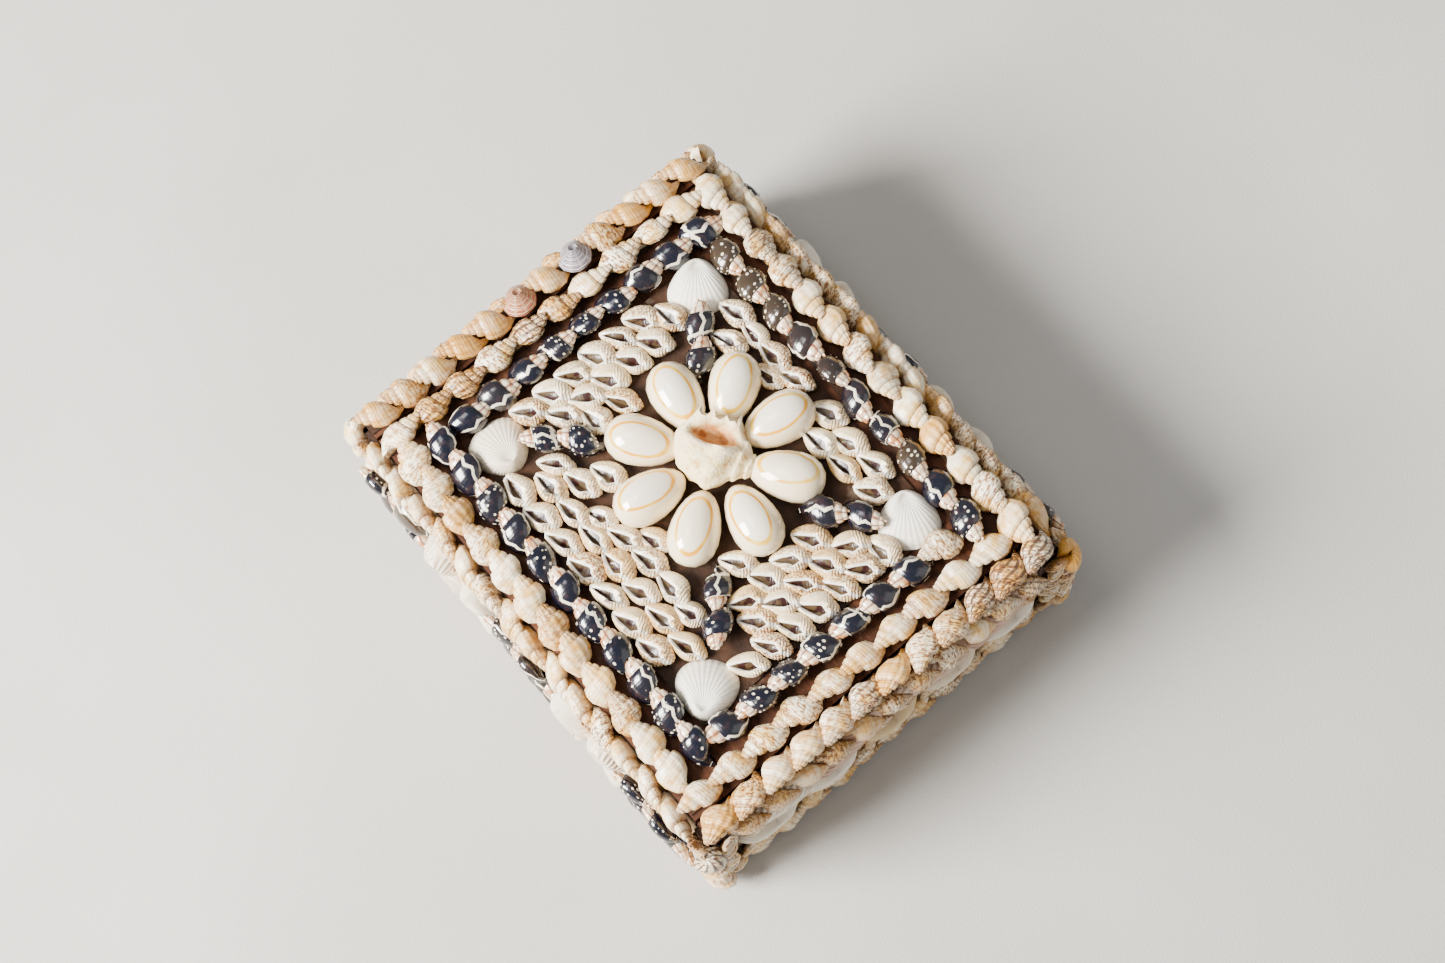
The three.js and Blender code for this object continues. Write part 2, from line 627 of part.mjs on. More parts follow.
// Bands between the rows. Valves lie flat in tiers; on the sides they fill the bays between
// clusters of dark shells.
function tiersOf({ from, to, bottom, top, columns, tiers, reach, form, seed, turn }) {
  const [pitchU, pitchV] = [(to - from) / columns, (top - bottom) / tiers];
  return Array.from({ length: columns * tiers }, (_, i) => {
    const [column, tier] = [i % columns, Math.floor(i / columns)];
    const heading = turn(column, tier) + 5 * vary(seed + i);
    const upright = Math.abs(Math.sin(radians(heading))) > 0.7;
    const [along, across] = upright ? [pitchV, pitchU] : [pitchU, pitchV];
    const size = { length: along * reach, width: across * reach * (0.98 + 0.02 * vary(seed + i + 0.5)) };
    const at = [from + (column + 0.5) * pitchU, bottom + (tier + 0.5) * pitchV];
    return { ...form, ...size, at, heading };
  });
}

for (const [k, side] of ['front', 'back'].entries()) {
  const half = bandLength[side] / 2;
  const footTiers = side === 'front' ? 2 : 1;
  const bottom = footHeight + (footTiers - 0.5) * footPitch + bandGap;
  const top = lidTop - ropeDrop - rimShell.width / 2 - bandGap;
  const split = top - longValve.width;
  const [from, to] = [-half + shellGap, half - shellGap];
  const long = tiersOf({
    from, to, bottom: split, top: top - shellGap, columns: longValve.count, tiers: 1, reach: longValve.reach,
    form: { height: longValve.height }, seed: 2000 + 50 * k, turn: (column) => (column % 2 ? 180 : 0),
  });
  const fans = tiersOf({
    from, to, bottom: bottom + shellGap, top: split, columns: fanValve.count, tiers: 1, reach: fanValve.reach,
    form: { height: fanValve.height }, seed: 2020 + 50 * k, turn: () => 90,
  });
  const outline = rectangle([-half, half], [bottom, top]);
  addRelief(`wall_band_${side}`, walls[side], outline, endBed, shaped([...long, ...fans], valveRings), 'mixed');
}

for (const [k, side] of ['left', 'right'].entries()) {
  const half = bandLength[side] / 2;
  const bottom = footHeight + footPitch / 2 + bandGap;
  const top = lidTop - sideRimDrop - rimShell.width / 2 - bandGap;
  const edges = { bottom: bottom + shellGap, top: top - shellGap };
  const clusterAt = half - shellGap - clusterWidth / 2;
  const shells = [-clusterAt, 0, clusterAt].flatMap((u, i) => shaped(tiersOf({
    ...edges, from: u - clusterWidth / 2, to: u + clusterWidth / 2, ...clusterShell,
    form: { height: clusterShell.height }, seed: 2100 + 80 * k + 20 * i, turn: (column, tier) => (tier % 2 ? 172 : -8),
  }), roofRings));
  shells.push(...[-1, 1].flatMap((end, i) => shaped(tiersOf({
    ...edges, from: end * clusterAt / 2 - (clusterAt - clusterWidth) / 2, to: end * clusterAt / 2 + (clusterAt - clusterWidth) / 2,
    ...sideValve, form: { height: sideValve.height }, seed: 2300 + 40 * k + 10 * i, turn: (column, tier) => (tier ? 90 : -90),
  }), valveRings)));
  addRelief(`wall_band_${side}`, walls[side], rectangle([-half, half], [bottom, top]), sideBed, shells, 'mixed');
}

// Heaps of rough shells up the four corners, on a bent bed that hugs the boards
const cornerProfile = [[-0.5, 0], [-0.2, 0.9], [0.15, 0.9], [0.5, 0]];
const leg = cornerWidth - shellGap;
const heapBottom = 1;
const heapTop = lidTop - shellGap;
function cornerHeap(seed) {
  const bend = [[contact, -leg], [cornerBed, -leg], [cornerBed, cornerBed], [-leg, cornerBed], [-leg, contact], [contact, contact]];
  const shape = new THREE.Shape(bend.map(([a, b]) => new THREE.Vector2(a, b)));
  const bed = new THREE.ExtrudeGeometry(shape, { depth: heapTop - heapBottom, bevelEnabled: false });
  let heap = solidOf(bed.translate(0, 0, heapBottom));
  const pitch = (heapTop - heapBottom) / cornerShells;
  for (let i = 0; i < cornerShells; i += 1) {
    const length = pitch * cornerShell.reach;
    const shell = turned(cornerProfile, cornerSides, { length, width: cornerShell.width, height: cornerShell.height }, 1);
    shell.rotateY(-Math.PI / 2).rotateZ(radians(-135 + 12 * vary(seed + i)));
    const out = cornerBed - 0.6;
    const middle = heapBottom + (i + 0.5) * pitch;
    const low = middle - length / 2 < heapBottom ? heapBottom - middle + length / 2 : 0;
    heap = heap.add(solidOf(shell.translate(out, out, Math.min(middle + low, heapTop - length / 2))));
  }
  const inside = new THREE.BoxGeometry(sideOuter, sideOuter, 2 * lidTop);
  return heap.subtract(solidOf(inside.translate(contact - sideOuter / 2, contact - sideOuter / 2, 0)));
}
const cornerNames = [['front_left', -1, -1], ['front_right', 1, -1], ['back_right', 1, 1], ['back_left', -1, 1]];
for (const [i, [name, sx, sy]] of cornerNames.entries()) {
  const geometry = geometryOf(cornerHeap(2500 + 10 * i));
  const turn = new THREE.Matrix4().makeRotationZ(Math.atan2(sy, sx) - Math.PI / 4);
  turn.setPosition(sx * sideOuter, sy * endOuter, 0);
  addPiece(`corner_heap_${name}`, geometry.applyMatrix4(turn), 'mixed');
}

export default part;
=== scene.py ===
"""Wooden trinket box covered in sea shells: the looks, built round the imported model.

Layout is worked out in millimetres with the box's own sizes, and set down in metres.
"""

import math

import bpy
from mathutils import Matrix, Vector, noise


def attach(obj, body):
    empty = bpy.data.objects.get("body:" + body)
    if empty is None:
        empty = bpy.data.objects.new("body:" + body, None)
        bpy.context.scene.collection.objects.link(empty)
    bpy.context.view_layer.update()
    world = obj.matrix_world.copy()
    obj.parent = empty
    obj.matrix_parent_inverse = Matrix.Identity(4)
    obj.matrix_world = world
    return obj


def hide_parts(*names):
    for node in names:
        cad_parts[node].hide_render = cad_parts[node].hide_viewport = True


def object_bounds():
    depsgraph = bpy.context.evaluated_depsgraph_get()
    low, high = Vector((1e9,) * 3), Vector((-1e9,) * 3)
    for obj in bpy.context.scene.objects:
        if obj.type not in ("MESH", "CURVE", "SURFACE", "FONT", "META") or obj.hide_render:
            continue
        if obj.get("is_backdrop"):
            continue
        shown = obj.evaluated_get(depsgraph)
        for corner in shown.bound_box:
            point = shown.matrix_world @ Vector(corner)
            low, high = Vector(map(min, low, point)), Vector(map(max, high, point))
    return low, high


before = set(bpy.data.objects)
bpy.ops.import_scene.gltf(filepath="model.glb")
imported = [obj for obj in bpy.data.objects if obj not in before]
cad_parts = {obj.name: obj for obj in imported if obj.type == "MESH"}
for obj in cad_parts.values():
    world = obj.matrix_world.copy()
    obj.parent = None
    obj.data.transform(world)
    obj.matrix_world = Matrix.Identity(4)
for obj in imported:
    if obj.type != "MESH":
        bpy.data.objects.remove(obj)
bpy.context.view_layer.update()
MM = 0.001
SIDES = ("front", "right", "back", "left")

# Carcass
BOX_WIDTH = 122
LID_LENGTH = 140.4
LID_TOP = 58
END_BOARD = 5
END_INNER = LID_LENGTH / 2 + 1
END_OUTER = END_INNER + END_BOARD
SIDE_OUTER = BOX_WIDTH / 2

# Glue beds
CONTACT = 0.1
SHELL_GAP = 0.3
SHELL_TOUCH = 0.04
FIELD_BED = 0.7
ROW_BED = 0.5
END_BED = 1
SIDE_BED = 3
ON_BED = FIELD_BED + CONTACT

# Shells in rows: (width, height, share of the pitch that one shell is long)
CREAM = (7.6, 5.7, 0.98)
DARK = (8.2, 6.5, 0.98)
RIM = (7.8, 6.2, 1.02)
FOOT = (7.2, 5, 0.94)
ARM = (7.8, 6.4, 0.97)
SPLIT_FILL = (6.2, 3.6, 0.8)
FOOT_FILL = (5.6, 3.2, 0.7)
CLUSTER_FILL = (7.4, 5.4, 0.95)
VALVE_FILL = (6.4, 4.6, 0.9)
CORNER_FILL = (6, 4, 1)

# Shells and valves in tiers: (share of their place that they fill, height)
CLUSTER = (0.97, 6.6)
LONG_VALVE = (0.96, 4.6)
FAN_VALVE = (0.94, 5.2)
SIDE_VALVE = (0.95, 8.2)

# Single shells: (length, width, height)
PALE = (9.9, 6.4, 4.8)
COWRIE = (22, 14.6, 10)
WHELK = (18.6, 14.6, 13)
COCKLE = (14.8, 15.4, 5)

# Rows on the lid
CREAM_INSET = 3.9
CREAM_X = SIDE_OUTER - CREAM_INSET
CREAM_Y = LID_LENGTH / 2 - CREAM_INSET
ROW_PITCH = 9.35
DARK_X = CREAM_X - ROW_PITCH
DARK_Y = CREAM_Y - ROW_PITCH
COCKLE_INSET = 11.7
FLOWER = (6.9, 2.5)
COWRIE_RING = 20.6
COWRIE_TURN = -9.5

# Rows on the walls
RIM_OUT = 1.2
ROPE_DROP = 4.4
SIDE_RIM_DROP = 5.4
CORNER = 5.5
FOOT_HEIGHT = 5.6
FOOT_PITCH = 7.8
BAND_GAP = 0.6
CLUSTER_WIDTH = 25
LONG_VALVE_TIER = 14


def vary(seed):
    """Repeatable variation between -1 and 1."""
    wave = math.sin(seed * 12.9898 + 4.1) * 43758.5453
    return 2 * (wave - math.floor(wave)) - 1


def chance(seed):
    return 0.5 + 0.5 * vary(seed)


# ------------------------------------------------------------------ places
def face_of(origin, u, v):
    u, v = Vector(u), Vector(v)
    w = u.cross(v)
    spot = Vector(origin) + w * CONTACT
    return Matrix(((u.x, v.x, w.x, spot.x), (u.y, v.y, w.y, spot.y), (u.z, v.z, w.z, spot.z), (0, 0, 0, 1)))


LID = face_of((0, 0, LID_TOP), (1, 0, 0), (0, 1, 0))
WALLS = {
    "front": face_of((0, -END_OUTER, 0), (1, 0, 0), (0, 0, 1)),
    "right": face_of((SIDE_OUTER, 0, 0), (0, 1, 0), (0, 0, 1)),
    "back": face_of((0, END_OUTER, 0), (-1, 0, 0), (0, 0, 1)),
    "left": face_of((-SIDE_OUTER, 0, 0), (0, -1, 0), (0, 0, 1)),
}


def a_shell(at, heading, length, width, height, seed, **more):
    """One shell's place on a face, in millimetres and degrees; the seed draws its form and shade."""
    return dict(at=at, heading=heading, length=length, width=width, height=height, seed=seed, **more)


def row_places(start, end, count, sizes, seed, slant=0):
    """Shells in a straight row whose tips all point from start to end."""
    width, height, reach = sizes
    along = (end[0] - start[0], end[1] - start[1])
    pitch = math.hypot(*along) / count
    heading = math.degrees(math.atan2(along[1], along[0]))
    places = []
    for i in range(count):
        step = (i + 0.5) / count
        n = seed + i
        places.append(a_shell(
            (start[0] + along[0] * step, start[1] + along[1] * step),
            heading + slant + 3 * vary(n + 0.3),
            pitch * reach * (1 + 0.02 * (vary(n + 0.5) - 1)),
            width * (1 + 0.04 * (vary(n + 0.7) - 1)),
            height * (1 + 0.05 * (vary(n + 0.9) - 1)),
            n,
        ))
    return places


def tiers_of(panel, columns, tiers, reach, height, seed, turn):
    """Shells or valves in tiers that fill a panel of a wall: (start, end, bottom, top)."""
    start, end, bottom, top = panel
    pitch_u, pitch_v = (end - start) / columns, (top - bottom) / tiers
    places = []
    for i in range(columns * tiers):
        column, tier = i % columns, i // columns
        heading = turn(column, tier) + 5 * vary(seed + i)
        upright = abs(math.sin(math.radians(heading))) > 0.7
        along, across = (pitch_v, pitch_u) if upright else (pitch_u, pitch_v)
        at = (start + (column + 0.5) * pitch_u, bottom + (tier + 0.5) * pitch_v)
        width = across * reach * (0.98 + 0.02 * vary(seed + i + 0.5))
        places.append(a_shell(at, heading, along * reach, width, height, seed + i))
    return places


def oval_outline(count, half_length, half_width, blunt=0.16):
    corners = []
    for i in range(count):
        angle = 2 * math.pi * i / count
        back = blunt * half_length * math.sin(angle) ** 2
        corners.append((half_length * math.cos(angle) - back, half_width * math.sin(angle)))
    return corners


OVAL = oval_outline(6, 0.5, 0.53)
ROUND = oval_outline(12, 0.5, 0.52, 0)
STRIP = [(0.5, 0.32), (0, 0.53), (-0.5, 0.32), (-0.5, -0.32), (0, -0.53), (0.5, -0.32)]
COWRIE_PROFILE = [(-0.5, 0), (-0.4, 0.56), (-0.1, 1), (0.24, 0.78), (0.5, 0)]
COWRIE_EDGE = [(x, r / 2) for x, r in reversed(COWRIE_PROFILE)] + [(x, -r / 2) for x, r in COWRIE_PROFILE[1:-1]]


def outline_of(shell):
    turn = math.radians(shell["heading"])
    c, s = math.cos(turn), math.sin(turn)
    corners = []
    for along, across in shell.get("outline", OVAL):
        x, y = along * shell["length"], across * shell["width"]
        corners.append((shell["at"][0] + c * x - s * y, shell["at"][1] + s * x + c * y))
    return corners


def depths(corners, outline):
    rows = []
    for i, start in enumerate(outline):
        end = outline[(i + 1) % len(outline)]
        ex, ey = end[0] - start[0], end[1] - start[1]
        span = math.hypot(ex, ey)
        rows.append([(ex * (y - start[1]) - ey * (x - start[0])) / span for x, y in corners])
    return rows


def space_between(first, second):
    outside = [-max(row) for row in depths(first, second)] + [-max(row) for row in depths(second, first)]
    return max(outside)


def border_places():
    """The two border rows of the lid on each side, as the solids have them."""
    half = CREAM[0] / 2
    cream = {
        "front": ((CREAM_X - half - SHELL_GAP, -CREAM_Y), (-SIDE_OUTER, -CREAM_Y), 10),
        "right": ((CREAM_X, CREAM_Y + half), (CREAM_X, -CREAM_Y - half), 13),
        "back": ((-SIDE_OUTER, CREAM_Y), (CREAM_X - half - SHELL_GAP, CREAM_Y), 10),
        "left": ((-CREAM_X, -CREAM_Y + half + SHELL_GAP), (-CREAM_X, CREAM_Y - half - SHELL_GAP), 12),
    }
    half = DARK[0] / 2
    dark = {
        "front": ((DARK_X - half - SHELL_GAP, -DARK_Y), (-DARK_X + half + SHELL_GAP, -DARK_Y), 8),
        "right": ((DARK_X, DARK_Y - half - SHELL_GAP), (DARK_X, -DARK_Y - half), 10),
        "back": ((-DARK_X + half + SHELL_GAP, DARK_Y), (DARK_X + half, DARK_Y), 9),
        "left": ((-DARK_X, -DARK_Y - half), (-DARK_X, DARK_Y + half), 11),
    }
    rows = {}
    for k, side in enumerate(SIDES):
        rows["cream_border_" + side] = row_places(*cream[side], CREAM, 100 * k + 11)
        rows["dark_border_" + side] = row_places(*dark[side], DARK, 100 * k + 41)
    return rows


def flower_places():
    places = []
    for i in range(8):
        heading = COWRIE_TURN + 45 * i
        turn = math.radians(heading)
        at = (FLOWER[0] + COWRIE_RING * math.cos(turn), FLOWER[1] + COWRIE_RING * math.sin(turn))
        places.append(a_shell(at, heading + 180, *COWRIE, 20 + i, outline=COWRIE_EDGE))
    return places


def cockle_places():
    x, y = DARK_X - COCKLE_INSET, DARK_Y - COCKLE_INSET
    spots = [(-x, -y), (x, -y), (x, y), (-x, y)]
    return [a_shell(spot, heading, *COCKLE, 40 + i, outline=ROUND)
            for i, (spot, heading) in enumerate(zip(spots, (225, 58, 50, 270)))]


# Pairs of dark shells: share of the way from the flower to the cockle, degrees aside of it, degrees turned off it
ARMS = [(0.568, 3.4, 2.9), (0.602, -9.4, 10.6), (0.556, 2.4, -4.5), (0.617, -4.1, 0.9)]
ARM_LENGTH = 10.4


def arm_places(cockles):
    pairs = []
    for i, (share, aside, turn) in enumerate(ARMS):
        way = (cockles[i]["at"][0] - FLOWER[0], cockles[i]["at"][1] - FLOWER[1])
        reach = share * math.hypot(*way)
        angle = math.atan2(way[1], way[0]) + math.radians(aside)
        heading = math.degrees(math.atan2(way[1], way[0])) + turn
        c, s = math.cos(math.radians(heading)), math.sin(math.radians(heading))
        start = (FLOWER[0] + reach * math.cos(angle) - c * ARM_LENGTH / 2,
                 FLOWER[1] + reach * math.sin(angle) - s * ARM_LENGTH / 2)
        pair = row_places((0, 0), (2 * ARM_LENGTH, 0), 2, ARM, 470 + 2 * i)
        for shell in pair:
            along = shell["at"][0]
            shell["at"] = (start[0] + c * along, start[1] + s * along)
            shell["heading"] += heading
            shell["outline"] = STRIP
        pairs.append(pair)
    return pairs


FIELD_X = DARK_X - DARK[0] / 2 - SHELL_GAP
FIELD_Y = DARK_Y - DARK[0] / 2 - SHELL_GAP
FIELD_CORNERS = [(-FIELD_X, -FIELD_Y), (FIELD_X, -FIELD_Y), (FIELD_X, FIELD_Y), (-FIELD_X, FIELD_Y)]
MITRE = 0.3
GAP_STEP = 0.7
FIELD_PITCH = 8.2
FIELD_ROW = 7.4
COLUMN_PITCH = 9.9
SIDE_COLUMN = 7.3
NEAR = 12
FILLERS = [(1, 0), (0.94, -20), (0.94, 20), (0.84, 0), (0.84, -30), (0.84, 30)]


def field_places(larger):
    """Pale shells in staggered rows, wherever the larger shells leave room."""
    first_x = FIELD_X - PALE[1] / 2 - 2 * MITRE
    first_y = FIELD_Y - 0.46 * PALE[0] - MITRE
    lattice = {
        "front": ((-first_x, -first_y), (FIELD_PITCH, 0), (0, FIELD_ROW)),
        "right": ((first_x, -first_y), (0, COLUMN_PITCH), (-SIDE_COLUMN, 0)),
        "back": ((-first_x, first_y), (FIELD_PITCH, 0), (0, -FIELD_ROW)),
        "left": ((-first_x, -first_y), (0, COLUMN_PITCH), (SIDE_COLUMN, 0)),
    }
    blockers = [outline_of(shell) for shell in larger]
    taken = []
    fields = {}
    for k, (side, (origin, step, following)) in enumerate(lattice.items()):
        is_end = k % 2 == 0
        lean = 42 if is_end else 13
        lag = -following[1] * math.tan(math.radians(lean)) / FIELD_PITCH if is_end else 0.5
        rows = math.floor((first_y if is_end else first_x) / abs(following[0] + following[1]))
        per_row = math.ceil(2 * (first_x if is_end else first_y) / (step[0] + step[1])) + 2
        corners = [FIELD_CORNERS[k], FIELD_CORNERS[(k + 1) % 4], FLOWER]
        own = []

        def try_shell(shell):
            if min(row[0] for row in depths([shell["at"]], corners)) <= MITRE:
                return
            if any(math.dist(shell["at"], other["at"]) < 0.45 * (shell["width"] + other["width"])
                   for other in larger):
                return
            if any(math.dist(shell["at"], at) < 0.9 * shell["width"] for _, at in taken):
                return
            edge = outline_of(shell)
            if min(min(row) for row in depths(edge, corners)) <= MITRE:
                return
            if any(space_between(edge, other) <= SHELL_GAP for other in blockers):
                return
            near = [other for other, at in taken if math.dist(shell["at"], at) < NEAR]
            if any(space_between(edge, other) <= SHELL_TOUCH for other in near):
                return
            taken.append((edge, shell["at"]))
            own.append(shell)

        for row in range(rows):
            for i in range(-2, per_row):
                n = 500 + 200 * k + 20 * row + i
                along = i + math.fmod(lag * row, 1)
                at = tuple(origin[a] + step[a] * along + following[a] * row + 0.1 * vary(n) for a in (0, 1))
                try_shell(a_shell(at, 90 + lean + 2 * vary(n + 0.5), *PALE, n))
        low = [min(c[a] for c in corners) for a in (0, 1)]
        high = [max(c[a] for c in corners) for a in (0, 1)]
        for scale, turn in FILLERS:
            y = low[1]
            while y < high[1]:
                x = low[0]
                while x < high[0]:
                    sizes = [scale * size for size in PALE]
                    try_shell(a_shell((x, y), 90 + lean + turn, *sizes, 1000 + x + 7 * y))
                    x += GAP_STEP
                y += GAP_STEP
        fields[side] = own
    return fields


# ------------------------------------------------------------------ materials
class Value:
    """A number on its way through a material: arithmetic adds Math nodes."""

    def __init__(self, graph, socket):
        self.graph, self.socket = graph, socket

    def math(self, operation, other):
        return self.graph.math_of(operation, self, other)

    def __rsub__(self, other):
        return self.graph.math_of("SUBTRACT", other, self)


for sign, operation in (("add", "ADD"), ("sub", "SUBTRACT"), ("mul", "MULTIPLY"), ("truediv", "DIVIDE"),
                        ("gt", "GREATER_THAN"), ("lt", "LESS_THAN")):
    setattr(Value, f"__{sign}__", lambda self, other, operation=operation: self.math(operation, other))


class Finish:
    """A material and its nodes."""

    def __init__(self, name, specular, coat=0.0, coat_roughness=0.03):
        self.material = bpy.data.materials.new(name)
        self.material.use_nodes = True
        self.nodes = self.material.node_tree.nodes
        self.links = self.material.node_tree.links
        self.surface = self.nodes["Principled BSDF"]
        for socket, value in (("Specular IOR Level", specular), ("Coat Weight", coat),
                              ("Coat Roughness", coat_roughness)):
            self.surface.inputs[socket].default_value = value
        self.where = self.add("ShaderNodeTexCoord", None, out=3)

    def add(self, kind, settings=None, *sockets, out=0, **named):
        node = self.nodes.new(kind)
        for key, value in (settings or {}).items():
            if key == "stops":
                stops = node.color_ramp.elements
                while len(stops) < len(value):
                    stops.new(1)
                for stop, (position, color) in zip(stops, value):
                    stop.position, stop.color = position, (*color, 1)
            else:
                setattr(node, key, value)
        for key, value in [*enumerate(sockets), *named.items()]:
            self.feed(node.inputs[key], value)
        return Value(self, node.outputs[out])

    def feed(self, socket, value):
        if isinstance(value, Value):
            self.links.new(value.socket, socket)
        else:
            socket.default_value = (*value, 1) if isinstance(value, tuple) and socket.type == "RGBA" else value

    def blend(self, factor, first, second):
        node = self.nodes.new("ShaderNodeMix")
        node.data_type = "RGBA"
        for index, value in ((0, factor), (6, first), (7, second)):
            self.feed(node.inputs[index], value)
        return Value(self, node.outputs[2])

    def ramp(self, factor, *stops):
        return self.add("ShaderNodeValToRGB", {"stops": stops}, factor)

    def step(self, value, low, high):
        return self.add("ShaderNodeMapRange", {"interpolation_type": "SMOOTHSTEP"}, value, low, high, 0.0, 1.0)

    def noise(self, scale, detail, where=None, roughness=0.5):
        return self.add("ShaderNodeTexNoise", None, Vector=where or self.where, Scale=scale, Detail=detail,
                        Roughness=roughness)

    def painted(self, name):
        """The three numbers that a mesh has for each vertex: "shell" for the shell's tone, pattern and seed, or
        "marks" for its mouth, lip and ribs."""
        color = self.add("ShaderNodeAttribute", {"attribute_name": name})
        return [self.add("ShaderNodeSeparateColor", None, color, out=i) for i in range(3)]

    def round_and_along(self):
        """How far round its coil, in turns, and how far across the whorl."""
        uv = self.add("ShaderNodeUVMap", {"uv_map": "UVMap"})
        return [self.add("ShaderNodeSeparateXYZ", None, uv, out=i) for i in range(2)]

    def wave(self, value):
        return self.math_of("SINE", value * (2 * math.pi)) * 0.5 + 0.5

    def math_of(self, operation, value, other=0.0):
        return self.add("ShaderNodeMath", {"operation": operation}, value, other)

    def zigzag(self, value):
        """0 to 1 and back once in each unit."""
        return self.math_of("PINGPONG", value, 0.5) * 2

    def pair(self, x, y, z=0.0):
        return self.add("ShaderNodeCombineXYZ", None, x, y, z)

    def show(self, color, roughness, height, distance, strength):
        """The finished material, with fine relief in its surface."""
        bump = self.add("ShaderNodeBump", None, Strength=strength, Distance=distance, Height=height)
        for socket, value in (("Normal", bump), ("Base Color", color), ("Roughness", roughness)):
            self.feed(self.surface.inputs[socket], value)
        return self.material


def wood_finish():
    finish = Finish("stained wood", 0.2)
    stretched = finish.add("ShaderNodeMapping", None, Vector=finish.where, Scale=(160, 26, 160))
    grain = finish.noise(2.2, 6, stretched, 0.62)
    fleck = finish.noise(900, 3)
    color = finish.ramp(grain, (0.25, (0.022, 0.008, 0.004)), (0.5, (0.06, 0.02, 0.008)),
                        (0.75, (0.13, 0.046, 0.018)))
    color = finish.blend(finish.step(fleck, 0.62, 0.75) * 0.3, color, (0.2, 0.13, 0.085))
    return finish.show(color, grain * 0.25 + 0.55, grain + fleck * 0.3, 0.0002, 0.6)


def glue_finish():
    finish = Finish("old glue on wood", 0.2)
    patch = finish.noise(150, 4)
    fine = finish.noise(900, 3)
    color = finish.ramp(patch, (0.35, (0.015, 0.006, 0.003)), (0.64, (0.045, 0.018, 0.008)),
                        (0.76, (0.16, 0.115, 0.08)))
    color = finish.blend(fine * 0.3, color, (0.07, 0.038, 0.02))
    return finish.show(color, patch * 0.4 + 0.45, patch + fine * 0.4, 0.0006, 0.7)


def plaster_finish():
    finish = Finish("glue between wall shells", 0.25)
    patch = finish.noise(110, 4)
    fine = finish.noise(1100, 3)
    color = finish.ramp(patch, (0.3, (0.05, 0.025, 0.012)), (0.5, (0.14, 0.08, 0.042)), (0.68, (0.32, 0.22, 0.12)))
    color = finish.blend(finish.step(fine, 0.55, 0.75) * 0.5, color, (0.22, 0.12, 0.06))
    return finish.show(color, fine * 0.4 + 0.3, patch + fine * 0.5, 0.0008, 0.8)


def cream_finish():
    finish = Finish("cream whorled shell", 0.5, 0.15, 0.15)
    tone, pattern, seed = finish.painted("shell")
    turn, across = finish.round_and_along()
    blotch = finish.noise(420, 3)
    wide = finish.noise(190, 2)
    speck = finish.noise(1.6, 2, finish.pair(turn * 13, across * 12, seed * 40))
    base = finish.blend(finish.step(wide, 0.42, 0.7), (0.93, 0.83, 0.61), (0.8, 0.52, 0.17))
    base = finish.blend(tone, base, (0.6, 0.28, 0.03))
    base = finish.blend(finish.step(blotch, 0.48, 0.62) * (tone * 0.5 + 0.4), base, (0.6, 0.27, 0.025))
    stain = finish.blend(pattern, (0.42, 0.16, 0.015), (0.09, 0.02, 0.008))
    lines = finish.step(finish.wave(across * 4.5 + blotch * 0.6), 0.74, 0.96)
    base = finish.blend(lines * (pattern * 0.45 + 0.22) * finish.step(wide, 0.25, 0.6), base, stain)
    dots = finish.step(speck, 0.5, 0.58) * finish.step(pattern, 0.1, 0.5)
    base = finish.blend(dots * 0.9, base, stain)
    bands = finish.step(finish.wave(turn * 10 + across * 1.5), 0.55, 0.8) * finish.step(pattern, 0.8, 0.86)
    base = finish.blend(bands * 0.85, base, (0.05, 0.02, 0.012))
    suture = 1 - finish.step(across, 0.06, 0.3)
    beads = finish.step(finish.wave(turn * 15), 0.35, 0.75) * 0.45 + 0.55
    base = finish.blend(suture * beads, base, (0.17, 0.05, 0.012))
    base = finish.blend(finish.step(turn, 2.2, 3.6) * 0.4, base, (0.5, 0.25, 0.1))
    ribs = finish.wave(turn * 12) * finish.step(across, 0.05, 0.3) * (tone * 0.8 + 0.2)
    cords = finish.wave(across * 11)
    return finish.show(base, blotch * 0.25 + 0.22, ribs * 0.8 + cords * 0.16 + blotch * 0.35, 0.0003, 0.9)


def dark_finish():
    finish = Finish("dark glossy shell", 0.6, 0.5, 0.1)
    tone, pattern, seed = finish.painted("shell")
    turn, across = finish.round_and_along()
    cloud = finish.noise(500, 3)
    base = finish.blend(tone, (0.002, 0.003, 0.009), (0.045, 0.028, 0.013))
    base = finish.blend(finish.step(cloud, 0.5, 0.72) * 0.4, base, (0.045, 0.018, 0.016))
    bend = finish.zigzag(across * 2.3 + seed) * 0.13 + cloud * 0.08
    stripe = finish.step(finish.zigzag(turn * 3.1 + bend + seed), 0.87, 0.91)
    line = finish.step(finish.wave(across * 1.6 + seed + cloud * 0.3), 0.965, 0.985) * (seed > 0.78)
    spots = finish.add("ShaderNodeTexVoronoi", None, Vector=finish.pair(turn * 13, across * 6.5, seed * 30),
                       Scale=1.0, Randomness=0.7)
    dots = 1 - finish.step(spots, 0.2, 0.27)
    white = stripe * (pattern < 0.6) + dots * (pattern > 0.5)
    white = finish.math_of("MAXIMUM", white, line)
    base = finish.blend(white * (1 - finish.step(turn, 0.96, 1.04)), base, (0.74, 0.66, 0.5))
    pink = finish.blend(finish.step(cloud, 0.42, 0.68), (0.8, 0.66, 0.46), (0.5, 0.2, 0.05))
    tip = finish.blend(finish.step(finish.wave(turn * 7 + seed * 3), 0.72, 0.9) * 0.8, pink, (0.16, 0.04, 0.03))
    base = finish.blend(finish.step(turn, 0.98, 1.1), base, tip)
    suture = 1 - finish.step(across, 0.02, 0.1)
    base = finish.blend(suture * 0.7, base, (0.09, 0.03, 0.026))
    return finish.show(base, cloud * 0.2 + 0.1, cloud * 0.3 + finish.wave(across * 12) * 0.12, 0.0002, 0.6)


